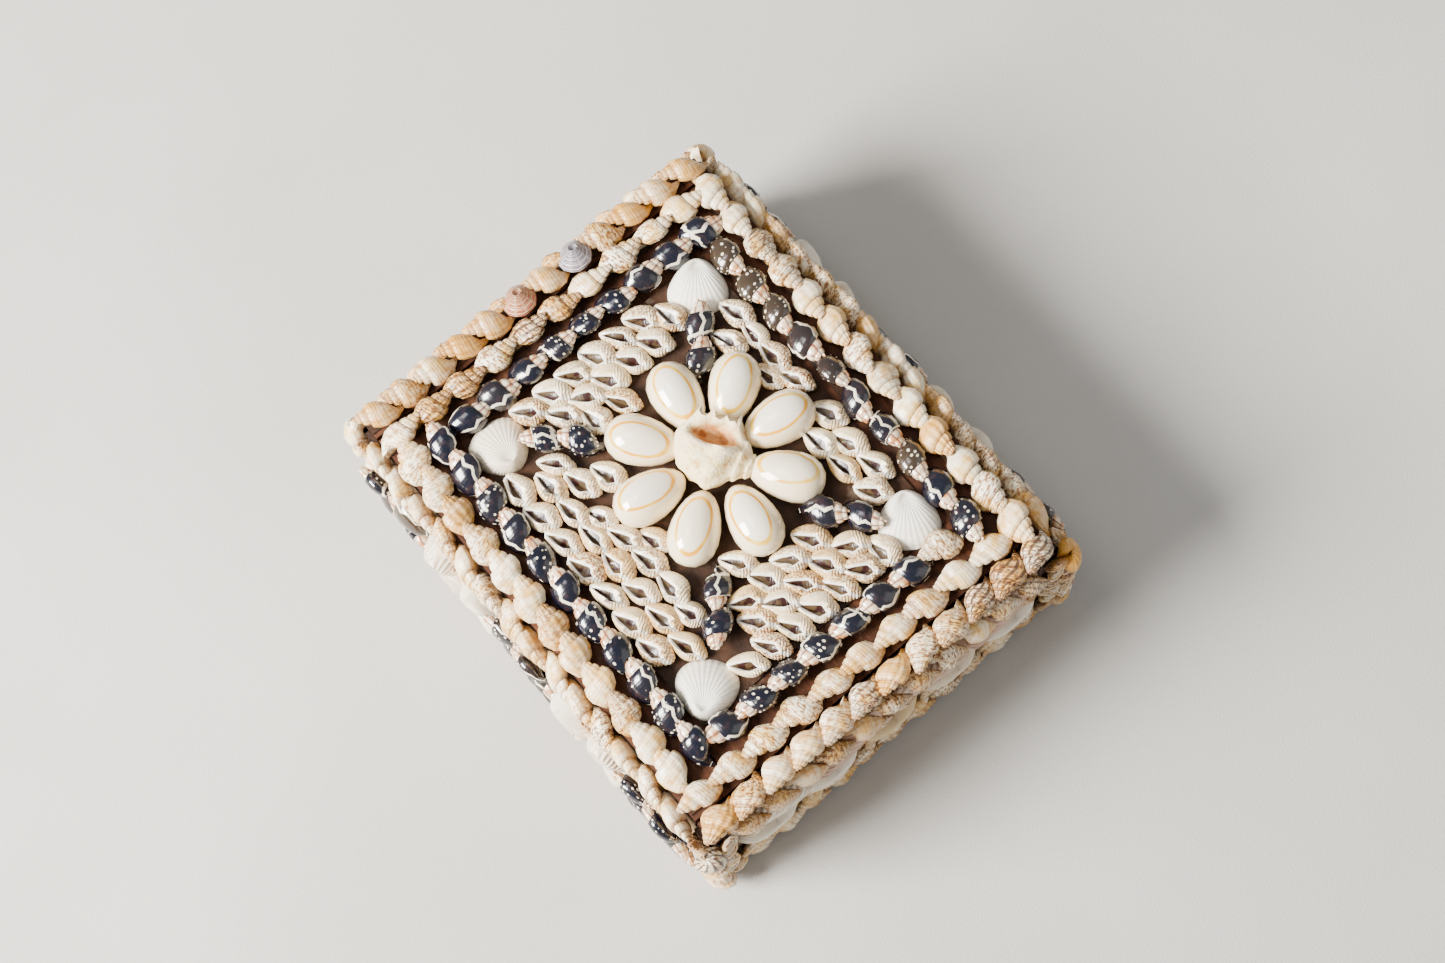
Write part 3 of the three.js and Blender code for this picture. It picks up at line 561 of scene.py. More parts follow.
def top_finish():
    finish = Finish("round top shell", 0.5, 0.3, 0.15)
    tone, _, _ = finish.painted("shell")
    turn, across = finish.round_and_along()
    cloud = finish.noise(500, 3)
    base = finish.blend(tone, (0.38, 0.1, 0.04), (0.2, 0.16, 0.19))
    light = finish.blend(tone, (0.74, 0.5, 0.3), (0.6, 0.56, 0.56))
    rings = finish.step(finish.wave(across * 4 + cloud * 0.3), 0.4, 0.85)
    base = finish.blend(rings * 0.6, base, light)
    base = finish.blend(finish.step(finish.wave(turn * 9), 0.7, 0.9) * 0.35, base, light)
    return finish.show(base, cloud * 0.2 + 0.25, finish.wave(across * 8) + cloud * 0.4, 0.0003, 0.8)


def pale_finish():
    finish = Finish("pale shell, mouth up", 0.5, 0.2, 0.12)
    tone, pattern, seed = finish.painted("shell")
    along, aside = finish.round_and_along()
    top, _, rib = finish.painted("marks")
    blotch = finish.noise(520, 3)
    t = (along + 0.09) / 0.53
    off = finish.math_of("ABSOLUTE", aside + t * 0.06 - 0.13)
    off = off - (1 - t) * finish.step(t, -0.24, 0.1) * 0.185
    # The mouth mask marks where the hollow opening is painted with shade.
    mouth = (1 - finish.step(off, -0.02, 0.015)) * finish.step(top, 0.05, 0.3) * (1 - finish.step(t, 0.95, 1.05))
    lip = 1 - finish.step(off, 0.03, 0.1)
    base = finish.blend(tone, (0.88, 0.75, 0.5), (0.7, 0.42, 0.12))
    speck = finish.noise(1.5, 2, finish.pair(aside * 13, along * 13, seed * 30))
    base = finish.blend(finish.step(speck, 0.46, 0.54) * (pattern * 0.85 + 0.15), base, (0.22, 0.07, 0.014))
    base = finish.blend(finish.step(blotch, 0.5, 0.7) * 0.4, base, (0.56, 0.34, 0.16))
    rings = finish.step(finish.wave(along * 15 + aside * 2), 0.6, 0.95)
    base = finish.blend(rib * rings * 0.5, base, (0.3, 0.12, 0.05))
    base = finish.blend(lip * 0.9, base, (0.92, 0.86, 0.75))
    # Painted shade: the opening is coloured near-black and dark brown in patches, standing in for the shade inside
    # the hollow shell.
    spot = finish.step(finish.noise(420, 1), 0.48, 0.56)
    inside = finish.blend(spot, (0.065, 0.038, 0.016), (0.022, 0.004, 0.002))
    base = finish.blend(mouth, base, inside)
    relief = finish.wave(along * 15 + aside * 2) * (rib * 0.8 + 0.05) + blotch * 0.3
    return finish.show(base, blotch * 0.2 + 0.22, relief, 0.00025, 0.8)


def cowrie_finish():
    finish = Finish("ivory cowrie", 0.6, 0.8, 0.05)
    tone, _, seed = finish.painted("shell")
    x, y = finish.round_and_along()
    cloud = finish.noise(160, 2)
    across = y + (seed - 0.5) * 0.08
    ring = finish.math_of("SQRT", (x + 0.02) * (x + 0.02) * 6.4 + across * across * 9.4)
    ring = ring + (cloud - 0.5) * 0.1
    band = finish.step(ring, 0.85, 0.895) - finish.step(ring, 0.985, 1.03)
    bold = finish.noise(1.0, 1, finish.pair(x * 3.5, y * 3.5, seed * 30))
    inside = 1 - finish.step(ring, 0.7, 1.0)
    base = finish.blend(cloud, (0.92, 0.81, 0.59), (0.88, 0.67, 0.37))
    base = finish.blend(inside * (tone * 0.35 + 0.35), base, (0.84, 0.79, 0.69))
    gold = finish.blend(finish.step(bold, 0.4, 0.58), (0.88, 0.52, 0.01), (0.8, 0.34, 0.0))
    base = finish.blend(band * (finish.step(bold, 0.3, 0.5) * 0.25 + 0.75), base, gold)
    return finish.show(base, cloud * 0.12 + 0.12, cloud, 0.0001, 0.3)


def cockle_finish():
    finish = Finish("white ribbed valve", 0.4)
    tone, _, _ = finish.painted("shell")
    around, out = finish.round_and_along()
    cloud = finish.noise(240, 3)
    base = finish.blend(tone, (0.89, 0.84, 0.73), (0.7, 0.5, 0.24))
    base = finish.blend(finish.step(cloud, 0.45, 0.7) * 0.25, base, (0.7, 0.62, 0.48))
    base = finish.blend(finish.step(finish.wave(out * 4 + cloud), 0.7, 1.0) * 0.12, base, (0.6, 0.48, 0.34))
    ribs = finish.wave(around * 46)
    # Painted shade: the grooves between the ribs, where the relief is lowest, are drawn darker.
    base = finish.blend((1 - ribs) * 0.14, base, (0.52, 0.44, 0.32))
    return finish.show(base, cloud * 0.2 + 0.45, ribs + finish.wave(out * 9) * 0.15, 0.00015, 0.6)


def tellin_finish():
    finish = Finish("smooth banded valve", 0.5, 0.15, 0.2)
    tone, pattern, seed = finish.painted("shell")
    _, out = finish.round_and_along()
    cloud = finish.noise(260, 3)
    bands = finish.wave(out * 5.5 + cloud * 0.9 + seed)
    base = finish.blend(tone, (0.84, 0.76, 0.6), (0.5, 0.27, 0.17))
    base = finish.blend(finish.step(bands, 0.5, 0.9) * (pattern * 0.45 + 0.12), base, (0.45, 0.22, 0.13))
    base = finish.blend(finish.step(cloud, 0.5, 0.72) * 0.25, base, (0.72, 0.6, 0.42))
    relief = finish.wave(out * 13 + cloud * 0.6) * 0.6 + cloud * 0.6
    return finish.show(base, cloud * 0.25 + 0.25, relief, 0.0006, 0.8)


def whelk_finish():
    finish = Finish("rough whelk", 0.4)
    mouth, lip, _ = finish.painted("marks")
    cloud = finish.noise(330, 5)
    fine = finish.noise(1300, 4)
    base = finish.ramp(cloud, (0.32, (0.6, 0.34, 0.1)), (0.44, (0.86, 0.66, 0.32)), (0.6, (0.89, 0.73, 0.45)))
    base = finish.blend(finish.step(fine, 0.56, 0.72) * 0.5, base, (0.46, 0.26, 0.12))
    base = finish.blend(lip * 0.6, base, (0.86, 0.74, 0.54))
    inside = finish.blend(finish.step(cloud, 0.4, 0.65), (0.42, 0.15, 0.035), (0.74, 0.4, 0.14))
    base = finish.blend(finish.step(mouth, 0.1, 0.9), base, inside)
    return finish.show(base, fine * 0.3 + 0.35, cloud * 0.9 + fine * 0.5, 0.0007, 0.9)


def cloth_finish():
    finish = Finish("pale floor", 0.2)
    patch = finish.noise(6, 4)
    weave = finish.noise(1500, 2)
    color = finish.ramp(patch, (0.3, (0.42, 0.395, 0.36)), (0.7, (0.5, 0.48, 0.445)))
    return finish.show(color, 0.9, weave, 0.0003, 0.4)


WOOD = wood_finish()
GLUE = glue_finish()
PLASTER = plaster_finish()
LOOK = {
    "cream": cream_finish(),
    "dark": dark_finish(),
    "pale": pale_finish(),
    "cowrie": cowrie_finish(),
    "cockle": cockle_finish(),
    "tellin": tellin_finish(),
    "whelk": whelk_finish(),
    "top": top_finish(),
}


# ------------------------------------------------------------------ modelling
def enter(mode):
    bpy.ops.object.mode_set(mode=mode)


def select(action="SELECT"):
    bpy.ops.mesh.select_all(action=action)


def begin():
    for obj in bpy.context.selected_objects:
        obj.select_set(False)


def taken_up(name):
    obj = bpy.context.object
    obj.name = obj.data.name = name
    return obj


def pick(obj, test):
    """Selects the vertices that pass a test, and leaves edit mode on."""
    enter("EDIT")
    bpy.ops.mesh.select_mode(type="VERT")
    select("DESELECT")
    enter("OBJECT")
    for vertex in obj.data.vertices:
        vertex.select = test(vertex)
    enter("EDIT")


def close_form(obj, angle):
    """Joined seams, faces outwards, soft shading."""
    enter("EDIT")
    bpy.ops.mesh.select_mode(type="VERT")
    select()
    bpy.ops.mesh.remove_doubles(threshold=1e-5)
    bpy.ops.mesh.normals_make_consistent(inside=False)
    enter("OBJECT")
    obj.select_set(True)
    bpy.ops.object.shade_smooth_by_angle(angle=math.radians(angle))


SUNK = 0.04


def unit_size(obj):
    """Fits a form to a box one long, one wide and one high, standing on z = 0 but for a little sunk in glue."""
    cos = [v.co.copy() for v in obj.data.vertices]
    low = [min(c[a] for c in cos) for a in range(3)]
    high = [max(c[a] for c in cos) for a in range(3)]
    span = [h - l for l, h in zip(low, high)]
    for vertex in obj.data.vertices:
        x, y, z = ((vertex.co[a] - low[a]) / span[a] for a in range(3))
        vertex.co = (x - 0.5, y - 0.5, z * (1 + SUNK) - SUNK)
    return obj


def mark(obj, uv, marks=None):
    """Writes the pattern's map, and the marks for mouth, lip and ribs, by vertex."""
    layer = obj.data.uv_layers.get("UVMap") or obj.data.uv_layers.new(name="UVMap")
    for loop in obj.data.loops:
        layer.data[loop.index].uv = uv[loop.vertex_index]
    attribute = obj.data.color_attributes.new(name="marks", type="FLOAT_COLOR", domain="POINT")
    for i, item in enumerate(attribute.data):
        item.color = (*(marks[i] if marks else (0, 0, 0)), 1)
    return obj


def whorled(name, section, growth, turns, steps, ribs=0.0):
    """A coiled shell: its cross-section is swept round the axis while it shrinks towards the apex."""
    begin()
    bpy.ops.mesh.primitive_circle_add(vertices=len(section), radius=0.1)
    obj = taken_up(name)
    for vertex, (out, down) in zip(obj.data.vertices, section):
        vertex.co = (out, 0, down)
    enter("EDIT")
    select()
    shrink = growth ** (-1 / steps)
    for _ in range(round(turns * steps)):
        bpy.ops.mesh.extrude_edges_move()
        bpy.ops.transform.rotate(value=2 * math.pi / steps, orient_axis="Z", center_override=(0, 0, 0))
        bpy.ops.transform.resize(value=(shrink,) * 3, center_override=(0, 0, 0))
    bpy.ops.mesh.merge(type="CENTER")
    select("DESELECT")
    enter("OBJECT")
    slopes = [math.atan2(out, -down) for out, down in section]
    found = []
    for vertex in obj.data.vertices:
        x, y, z = vertex.co
        slope = math.atan2(math.hypot(x, y), -z)
        j = min(range(len(section)), key=lambda i: abs(slopes[i] - slope))
        k = round(math.log(max(vertex.co.length, 1e-9) / math.hypot(*section[j])) / math.log(shrink))
        found.append((k / steps, min(1.0, j / (len(section) - 2))))
        vertex.select = k == 0
        if ribs and k % 2 and 0 < j < len(section) - 2:
            vertex.co = (x * (1 + ribs), y * (1 + ribs), z)
    leading = next(v.co.y for v, (turn, _) in zip(obj.data.vertices, found)
                   if round(turn * steps) == 1 and v.co.x > 0.1)
    enter("EDIT")
    bpy.ops.mesh.edge_face_add()
    enter("OBJECT")
    if leading < 0:
        obj.data.transform(Matrix.Scale(-1, 4, (0, 1, 0)))
    mark(obj, found)
    obj.data.transform(Matrix.Rotation(math.pi / 2, 4, "Y"))
    close_form(obj, 65)
    return unit_size(obj)


SPIRED = [(0.16, -0.45), (0.3, -0.48), (0.365, -0.6), (0.365, -0.74), (0.27, -0.91), (0.11, -1.0), (0.0, -0.95)]
SLENDER = [(0.14, -0.48), (0.26, -0.51), (0.31, -0.62), (0.31, -0.76), (0.22, -0.92), (0.09, -1.0), (0.0, -0.95)]
STOUT = [(0.19, -0.38), (0.35, -0.41), (0.41, -0.54), (0.4, -0.7), (0.29, -0.9), (0.13, -1.0), (0.0, -0.95)]
OLIVE = [(0.19, -0.38), (0.3, -0.41), (0.355, -0.55), (0.36, -0.7), (0.29, -0.88), (0.13, -1.0), (0.0, -0.96)]
PLUMP = [(0.22, -0.4), (0.345, -0.43), (0.41, -0.56), (0.41, -0.7), (0.33, -0.88), (0.15, -1.0), (0.0, -0.96)]
TOP = [(0.5, -0.46), (0.6, -0.54), (0.66, -0.66), (0.56, -0.84), (0.3, -0.96), (0.1, -1.0), (0.0, -0.9)]


AWAY = 10


def ringed(name, profile, segments, squash):
    """An egg-shaped form along X, from a ball whose rings are set to a profile; its underside is flat.

    Rings that have their place are kept away from the others until all have theirs.
    """
    begin()
    bpy.ops.mesh.primitive_uv_sphere_add(segments=segments, ring_count=len(profile) - 1, radius=1,
                                         rotation=(0, math.pi / 2, 0))
    obj = taken_up(name)
    bpy.ops.object.transform_apply(location=False, rotation=True, scale=False)
    rings = len(profile) - 1
    for k, (share, out) in enumerate(profile):
        place = math.cos(math.pi * k / rings)
        pick(obj, lambda v: abs(v.co.x - place) < 1e-4)
        if 0 < k < rings:
            factor = out / math.sin(math.pi * k / rings)
            bpy.ops.transform.resize(value=(1, factor, factor), center_override=(place, 0, 0))
        bpy.ops.transform.translate(value=(share + AWAY - place, 0, 0))
        enter("OBJECT")
    obj.data.transform(Matrix.Translation((-AWAY, 0, 0)))
    pick(obj, lambda v: True)
    bpy.ops.mesh.bisect(plane_co=(0, 0, -squash), plane_no=(0, 0, -1), use_fill=True, clear_outer=True)
    enter("OBJECT")
    return obj


def cowrie_form():
    profile = [(1.0, 0), (0.96, 0.22), (0.85, 0.45), (0.64, 0.68), (0.36, 0.86), (0.04, 0.97), (-0.28, 1.0),
               (-0.57, 0.92), (-0.8, 0.71), (-0.95, 0.4), (-1.0, 0)]
    obj = ringed("cowrie_form", profile, 20, 0.55)
    close_form(obj, 60)
    unit_size(obj)
    return mark(obj, [(v.co.x, v.co.y) for v in obj.data.vertices])


def filled(profile, count):
    """The same profile with more rings, evenly between its points."""
    rings = []
    for i in range(count + 1):
        at = i * (len(profile) - 1) / count
        k = min(int(at), len(profile) - 2)
        rings.append(tuple(a + (b - a) * (at - k) for a, b in zip(profile[k], profile[k + 1])))
    return rings


def ramp(value, low, high):
    share = min(1.0, max(0.0, (value - low) / (high - low)))
    return share * share * (3 - 2 * share)


def pale_form(name, profile, wide_end, opening, flat=0.7):
    """Lies on its back: narrow front end towards +X, short spire towards -X, on top a mouth that widens from the
    narrow end, with a thick lip."""
    obj = ringed(name, profile, 20, flat)
    uv, marks = [], []
    for v in obj.data.vertices:
        x, y, z = v.co
        t = (x - wide_end) / (0.88 - wide_end)
        half = opening * ((1 - t) if t > 0 else (1 + 4 * t))
        off = abs(y - 0.26 + 0.12 * t) - half
        uv.append((x / 2, y / 2))
        marks.append((max(0.0, v.normal.z), 0.0, float(x < -0.25)))
        if z > 0 and t < 1.1:
            lip = math.exp(-((off - 0.16) / 0.1) ** 2) * (1.3 if y > 0.26 else 0.5)
            v.co.z += 0.14 * lip - 0.6 * ramp(-off, -0.1, 0.16)
            v.co.y += 0.08 * lip * (y > 0.26)
        if x < -0.25:
            v.co.x += 0.02 * math.sin(9 * math.atan2(z, y))
    mark(obj, uv, marks)
    close_form(obj, 60)
    return unit_size(obj)


MOUTH_UP = [(1.0, 0), (0.95, 0.16), (0.84, 0.36), (0.68, 0.56), (0.48, 0.74), (0.26, 0.89), (0.04, 0.98),
            (-0.18, 1.0), (-0.38, 0.92), (-0.56, 0.74), (-0.63, 0.58), (-0.74, 0.5), (-0.8, 0.38), (-0.9, 0.26),
            (-1.0, 0)]
MOUTH_UP_SHORT = [(1.0, 0), (0.94, 0.22), (0.8, 0.46), (0.6, 0.68), (0.38, 0.86), (0.16, 0.97), (-0.06, 1.0),
                  (-0.28, 0.97), (-0.48, 0.86), (-0.64, 0.68), (-0.7, 0.54), (-0.8, 0.46), (-0.88, 0.32), (-1.0, 0)]
WHELK_PROFILE = [(1.0, 0), (0.92, 0.16), (0.82, 0.34), (0.76, 0.3), (0.6, 0.58), (0.52, 0.54), (0.34, 0.86),
                 (0.14, 1.0), (-0.1, 1.0), (-0.34, 0.94), (-0.58, 0.8), (-0.8, 0.55), (-0.94, 0.3), (-1.0, 0)]


def whelk_form():
    """A rough whelk on its back, spire towards +X, mouth to its left with a frilled outer lip."""
    obj = ringed("whelk_form", filled(WHELK_PROFILE, 30), 44, 0.8)
    uv, marks = [], []
    turned = math.radians(10)
    for v in obj.data.vertices:
        x, y, z = v.co
        along = (x + 0.14) * math.cos(turned) + (y - 0.3) * math.sin(turned)
        aside = (y - 0.3) * math.cos(turned) - (x + 0.14) * math.sin(turned)
        off = math.hypot(along / 0.66, aside / 0.34)
        top = ramp(z, -0.2, 0.2)
        angle = math.atan2(z, y)
        uv.append((x / 2, y / 2))
        marks.append((top * (1 - ramp(off, 0.62, 0.98)), top * math.exp(-((off - 1.15) / 0.2) ** 2), 0.0))
        knobs = 0.11 * max(0.0, math.cos(8 * angle)) * math.exp(-((x - 0.16) / 0.14) ** 2)
        knobs += 0.06 * max(0.0, math.cos(9 * angle + 1)) * math.exp(-((x - 0.56) / 0.08) ** 2)
        rough = 0.07 * noise.fractal(v.co * 3.2, 1.0, 2.0, 4) + 0.03 * noise.noise(v.co * 11)
        v.co += Vector((0, y, z)).normalized() * (rough + knobs)
        lip = top * math.exp(-((off - 1.12) / 0.16) ** 2)
        outer = lip * ramp(aside, 0.05, 0.2) * ramp(along, -0.75, -0.5) * (1 - ramp(along, 0.4, 0.62))
        tooth = max(0.0, math.cos(2 * math.pi * 6.5 * along + 0.6)) ** 2
        v.co += Vector((0.0, 0.14 + 0.3 * tooth, 0.12 + 0.12 * tooth)) * outer
        v.co.z += 0.1 * lip - top * 1.15 * (1 - ramp(off, 0.3, 1.0))
    mark(obj, uv, marks)
    close_form(obj, 80)
    return unit_size(obj)


def valve_form(name, spokes, ribs, rise, beak=0.36, taper=0.22):
    """Half of a bivalve, its beak towards +X: rings drawn in to the beak from the rim."""
    begin()
    bpy.ops.mesh.primitive_circle_add(vertices=spokes, radius=0.5, fill_type="NGON")
    obj = taken_up(name)
    for vertex in obj.data.vertices:
        vertex.co.y *= 1 - taper * vertex.co.x / 0.5
    enter("EDIT")
    select()
    shares = [1, 0.97, 0.88, 0.75, 0.6, 0.45, 0.3, 0.16, 0.06]
    heights = [0, 0.12, 0.36, 0.62, 0.82, 0.95, 1.0, 0.95, 0.8]
    for i in range(1, len(shares)):
        factor = shares[i] / shares[i - 1]
        bpy.ops.mesh.extrude_region_move()
        bpy.ops.transform.resize(value=(factor, factor, 1), center_override=(beak, 0, 0))
        bpy.ops.transform.translate(value=(0, 0, (heights[i] - heights[i - 1]) * rise))
    bpy.ops.mesh.merge(type="CENTER")
    enter("OBJECT")
    layout = []
    for v in obj.data.vertices:
        dx, dy = v.co.x - beak, v.co.y
        layout.append((math.atan2(dy, -dx) / (2 * math.pi), min(1.0, math.hypot(dx, dy) / (0.5 + beak))))
    if ribs:
        pick(obj, lambda v: v.index % spokes % 2 == 1 and v.co.z > 0.01)
        bpy.ops.transform.resize(value=(1 + ribs, 1 + ribs, 1 + 1.6 * ribs), center_override=(beak / 2, 0, 0))
        enter("OBJECT")
    close_form(obj, 70)
    unit_size(obj)
    return mark(obj, layout)


FORMS = {
    "spired": whorled("spired_form", SPIRED, 1.5, 4.2, 10),
    "ribbed": whorled("ribbed_form", SPIRED, 1.5, 4.1, 16, 0.07),
    "slender": whorled("slender_form", SLENDER, 1.42, 4.8, 10),
    "stout": whorled("stout_form", STOUT, 1.6, 3.6, 12, 0.05),
    "plump": whorled("plump_form", PLUMP, 1.56, 3.4, 12),
    "olive": whorled("olive_form", OLIVE, 1.56, 3.4, 12),
    "top": whorled("top_form", TOP, 1.35, 4.5, 14, 0.03),
    "cowrie": cowrie_form(),
    "pale": pale_form("pale_form_1", MOUTH_UP, -0.24, 0.4),
    "pale_long": pale_form("pale_form_2", MOUTH_UP, -0.34, 0.32),
    "pale_short": pale_form("pale_form_3", MOUTH_UP_SHORT, -0.18, 0.46),
    "fan": valve_form("fan_form", 40, 0.01, 0.4),
    "smooth": valve_form("smooth_form", 24, 0, 0.36, 0.38, 0.16),
    "whelk": whelk_form(),
}
FORMS["top"].data.transform(Matrix.Rotation(-math.pi / 2, 4, "Y"))
unit_size(FORMS["top"])


# ------------------------------------------------------------------ pieces
def set_down(form, on, shell, look, tone, pattern, roll, lift, stretch=1.0, spread=1.0, sway=0.0, tip=0.0):
    """A copy of a form on a face, with its own mesh, size and shade.

    sway is how many degrees it may be out of line, and tip how many its spire is raised.
    """
    obj = FORMS[form].copy()
    obj.data = FORMS[form].data.copy()
    bpy.context.collection.objects.link(obj)
    n = shell["seed"]
    height = shell["height"] * (1 - 0.006 * sway * chance(n + 0.81))
    bulk = 1 + 0.01 * sway * vary(n + 0.71)
    size = Matrix.Diagonal((shell["length"] * stretch, shell["width"] * spread * bulk, height, 1))
    middle = Matrix.Translation((0, 0, 0.45 * height))
    raised = Matrix.Rotation(math.radians(0.5 * sway * vary(n + 0.61) - tip), 4, "Y")
    lean = raised @ Matrix.Rotation(math.radians(roll), 4, "X")
    body = middle @ lean @ middle.inverted() @ size
    heading = math.radians(shell["heading"] + sway * vary(n + 0.51))
    place = Matrix.Translation((*shell["at"], lift)) @ Matrix.Rotation(heading, 4, "Z")
    obj.data.transform(Matrix.Scale(MM, 4) @ on @ place @ body)
    obj.data.materials.clear()
    obj.data.materials.append(LOOK[look])
    shade = obj.data.color_attributes.new(name="shell", type="FLOAT_COLOR", domain="POINT")
    color = (tone, pattern, chance(n + 0.17), 1)
    shade.data.foreach_set("color", color * len(obj.data.vertices))
    return obj


def bed(on, corners, thickness, look, cuts=(), cell=3.0):
    """A sheet of glue: a slab with a wavy top, cut to its outline."""
    (u0, v0), (u1, v1) = corners
    begin()
    across, along = max(2, round((u1 - u0) / cell)), max(2, round((v1 - v0) / cell))
    bpy.ops.mesh.primitive_grid_add(x_subdivisions=across, y_subdivisions=along, size=1)
    obj = taken_up("bed")
    middle = Matrix.Translation(((u0 + u1) / 2, (v0 + v1) / 2, 0))
    obj.data.transform(middle @ Matrix.Diagonal((u1 - u0, v1 - v0, 1, 1)))
    enter("EDIT")
    select()
    bpy.ops.mesh.extrude_region_move()
    bpy.ops.transform.translate(value=(0, 0, thickness))
    enter("OBJECT")
    for vertex in obj.data.vertices:
        if vertex.co.z > thickness / 2:
            vertex.co.z -= 0.35 * min(thickness, 1) * chance(vertex.co.x * 3.1 + vertex.co.y * 7.7)
    enter("EDIT")
    for spot, away in cuts:
        select()
        bpy.ops.mesh.bisect(plane_co=(*spot, 0), plane_no=(*away, 0), use_fill=True, clear_outer=True)
    close_form(obj, 40)
    obj.data.transform(Matrix.Scale(MM, 4) @ on)
    obj.data.materials.append(look)
    return obj


def joined(name, parts, node):
    """One piece from many, standing for its CAD node."""
    begin()
    for obj in parts:
        obj.select_set(True)
    bpy.context.view_layer.objects.active = parts[0]
    if len(parts) > 1:
        bpy.ops.object.join()
    piece = taken_up(name)
    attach(piece, "root")
    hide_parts(node)


def shells_piece(node, parts):
    joined("shells_" + node, parts, node)


def strip_of(places):
    """The corners of the strip of glue under a row."""
    across = max(shell["width"] for shell in places) * 0.3
    us = [shell["at"][0] for shell in places]
    vs = [shell["at"][1] for shell in places]
    long_axis = 0 if any(abs(u - us[0]) > across for u in us) else 1
    half = [places[0]["length"] * 0.5 if axis == long_axis else across for axis in (0, 1)]
    return (min(us) - half[0], min(vs) - half[1]), (max(us) + half[0], max(vs) + half[1])


def row_piece(node, on, places, kind, glue):
    parts = [bed(on, strip_of(places), ROW_BED, glue)]
    shells_piece(node, parts + [kind(on, shell, ROW_BED) for shell in places])


def one_of(forms, n):
    return forms[int(chance(n + 0.11) * (len(forms) - 0.01))]


def kind_of(forms, look, tone, pattern, roll, stretch, spread, sway=8, tip=10, drawn_at=0.31):
    """One kind of small shell. Tone and pattern are the least, the range and the power of what is drawn."""

    def set_one(on, shell, lift):
        n = shell["seed"]
        own_tone = tone[0] + tone[1] * chance(n + 0.21) ** tone[2]
        own_pattern = pattern[0] + pattern[1] * chance(n + drawn_at) ** pattern[2]
        return set_down(one_of(forms, n), on, shell, look, own_tone, own_pattern, roll * vary(n + 0.41), lift,
                        stretch, spread, sway, tip)

    return set_one


CREAM_KIND = (("spired", "spired", "ribbed", "slender", "stout"), "cream", (0, 0.8, 3), (0, 0.82, 1.3), 25)
MIXED_KIND = (("ribbed", "spired", "ribbed", "stout"), "cream", (0.1, 0.65, 2))
cream_shell = kind_of(*CREAM_KIND, 1.55, 1.18)
wide_shell = kind_of(*CREAM_KIND, 1.6, 1.34)
foot_shell = kind_of(*CREAM_KIND, 1.4, 1.18)
large_shell = kind_of(*CREAM_KIND, 1.66, 1.5)
speckled_shell = kind_of(("ribbed", "stout"), "cream", (0.25, 0.6, 1), (0.55, 0.45, 1), 20, 1.52, 1.18)
plain_rim_shell = kind_of(("ribbed", "stout"), "cream", (0.15, 0.75, 1), (0, 0.7, 1), 25, 1.5, 1.2)
plain_mixed_shell = kind_of(*MIXED_KIND, (0, 0.84, 1), 25, 1.5, 1.2)
banded_shell = kind_of(*MIXED_KIND, (0.86, 0.14, 1), 25, 1.5, 1.2, drawn_at=0)
dark_shell = kind_of(("plump", "olive"), "dark", (0, 0.15, 2), (0, 1, 1), 30, 1.56, 1.18)
olive_dark_shell = kind_of(("plump", "olive"), "dark", (0, 0.9, 2), (0, 1, 1), 30, 1.56, 1.18)
pale_shell = kind_of(("pale", "pale_long", "pale_short"), "pale", (0, 0.8, 1.8), (0, 1, 1.1), 16, 1.27, 1.3, 13, 0)


def back_shell(on, shell, lift):
    middle = -45 < shell["at"][0] < 5 and chance(shell["seed"] + 0.6) > 0.25
    return (speckled_shell if middle else cream_shell)(on, shell, lift)


def front_dark_shell(on, shell, lift):
    return (cream_shell if shell["at"][0] > 32 else dark_shell)(on, shell, lift)


def mixed_shell(on, shell, lift):
    banded = on is LID and shell["at"][0] > 30 and shell["at"][1] < 0
    return (banded_shell if banded else plain_mixed_shell)(on, shell, lift)


def back_rim_shell(on, shell, lift):
    for x, tone in ((15, 1.0), (-5, 0.0)):
        if abs(shell["at"][0] - x) < 4:
            round_one = {**shell, "length": 10.4, "width": 10.0, "height": 7.6}
            return set_down("top", on, round_one, "top", tone, 0.5, 12, lift)
    return plain_rim_shell(on, shell, lift)


OVERHANG = 1.9


def bulging_shell(on, shell, lift):
    """The large cream shells that hang over the top edge of the side boards."""
    u, v = shell["at"]
    return large_shell(on, {**shell, "at": (u, v + OVERHANG)}, lift)


rows = border_places()
for side in SIDES:
    kind = {"back": back_shell, "front": cream_shell}.get(side, wide_shell)
    row_piece("cream_border_" + side, LID, rows["cream_border_" + side], kind, GLUE)
    kind = {"right": olive_dark_shell, "front": front_dark_shell}.get(side, dark_shell)
    row_piece("dark_border_" + side, LID, rows["dark_border_" + side], kind, GLUE)

flower = flower_places()
for i, shell in enumerate(flower):
    cowrie = set_down("cowrie", LID, shell, "cowrie", chance(i + 0.2), 0.5, 8 * vary(i + 3.4), ON_BED)
    joined(f"cowrie_{i + 1}", [cowrie], f"ring_cowrie_{i + 1}")

cockles = cockle_places()
for i, shell in enumerate(cockles):
    tone = 0.4 if i == 3 else 0.05
    cockle = set_down("fan", LID, shell, "cockle", tone, 0.5, 0, ON_BED, 1.14, 1.14)
    joined(f"cockle_{i + 1}", [cockle], f"corner_cockle_{i + 1}")

pairs = arm_places(cockles)
for i, pair in enumerate(pairs):
    parts = [dark_shell(LID, shell, ON_BED + ROW_BED) for shell in pair]
    shells_piece(f"dark_pair_{i + 1}", parts)

whelk = a_shell((FLOWER[0] + 1.3, FLOWER[1] + 0.65), -66, *WHELK, 7, outline=ROUND)
piece = set_down("whelk", LID, whelk, "whelk", 0.5, 0.5, 0, ON_BED, 1.38, 1.55)
joined("whelk", [piece], "centre_whelk")

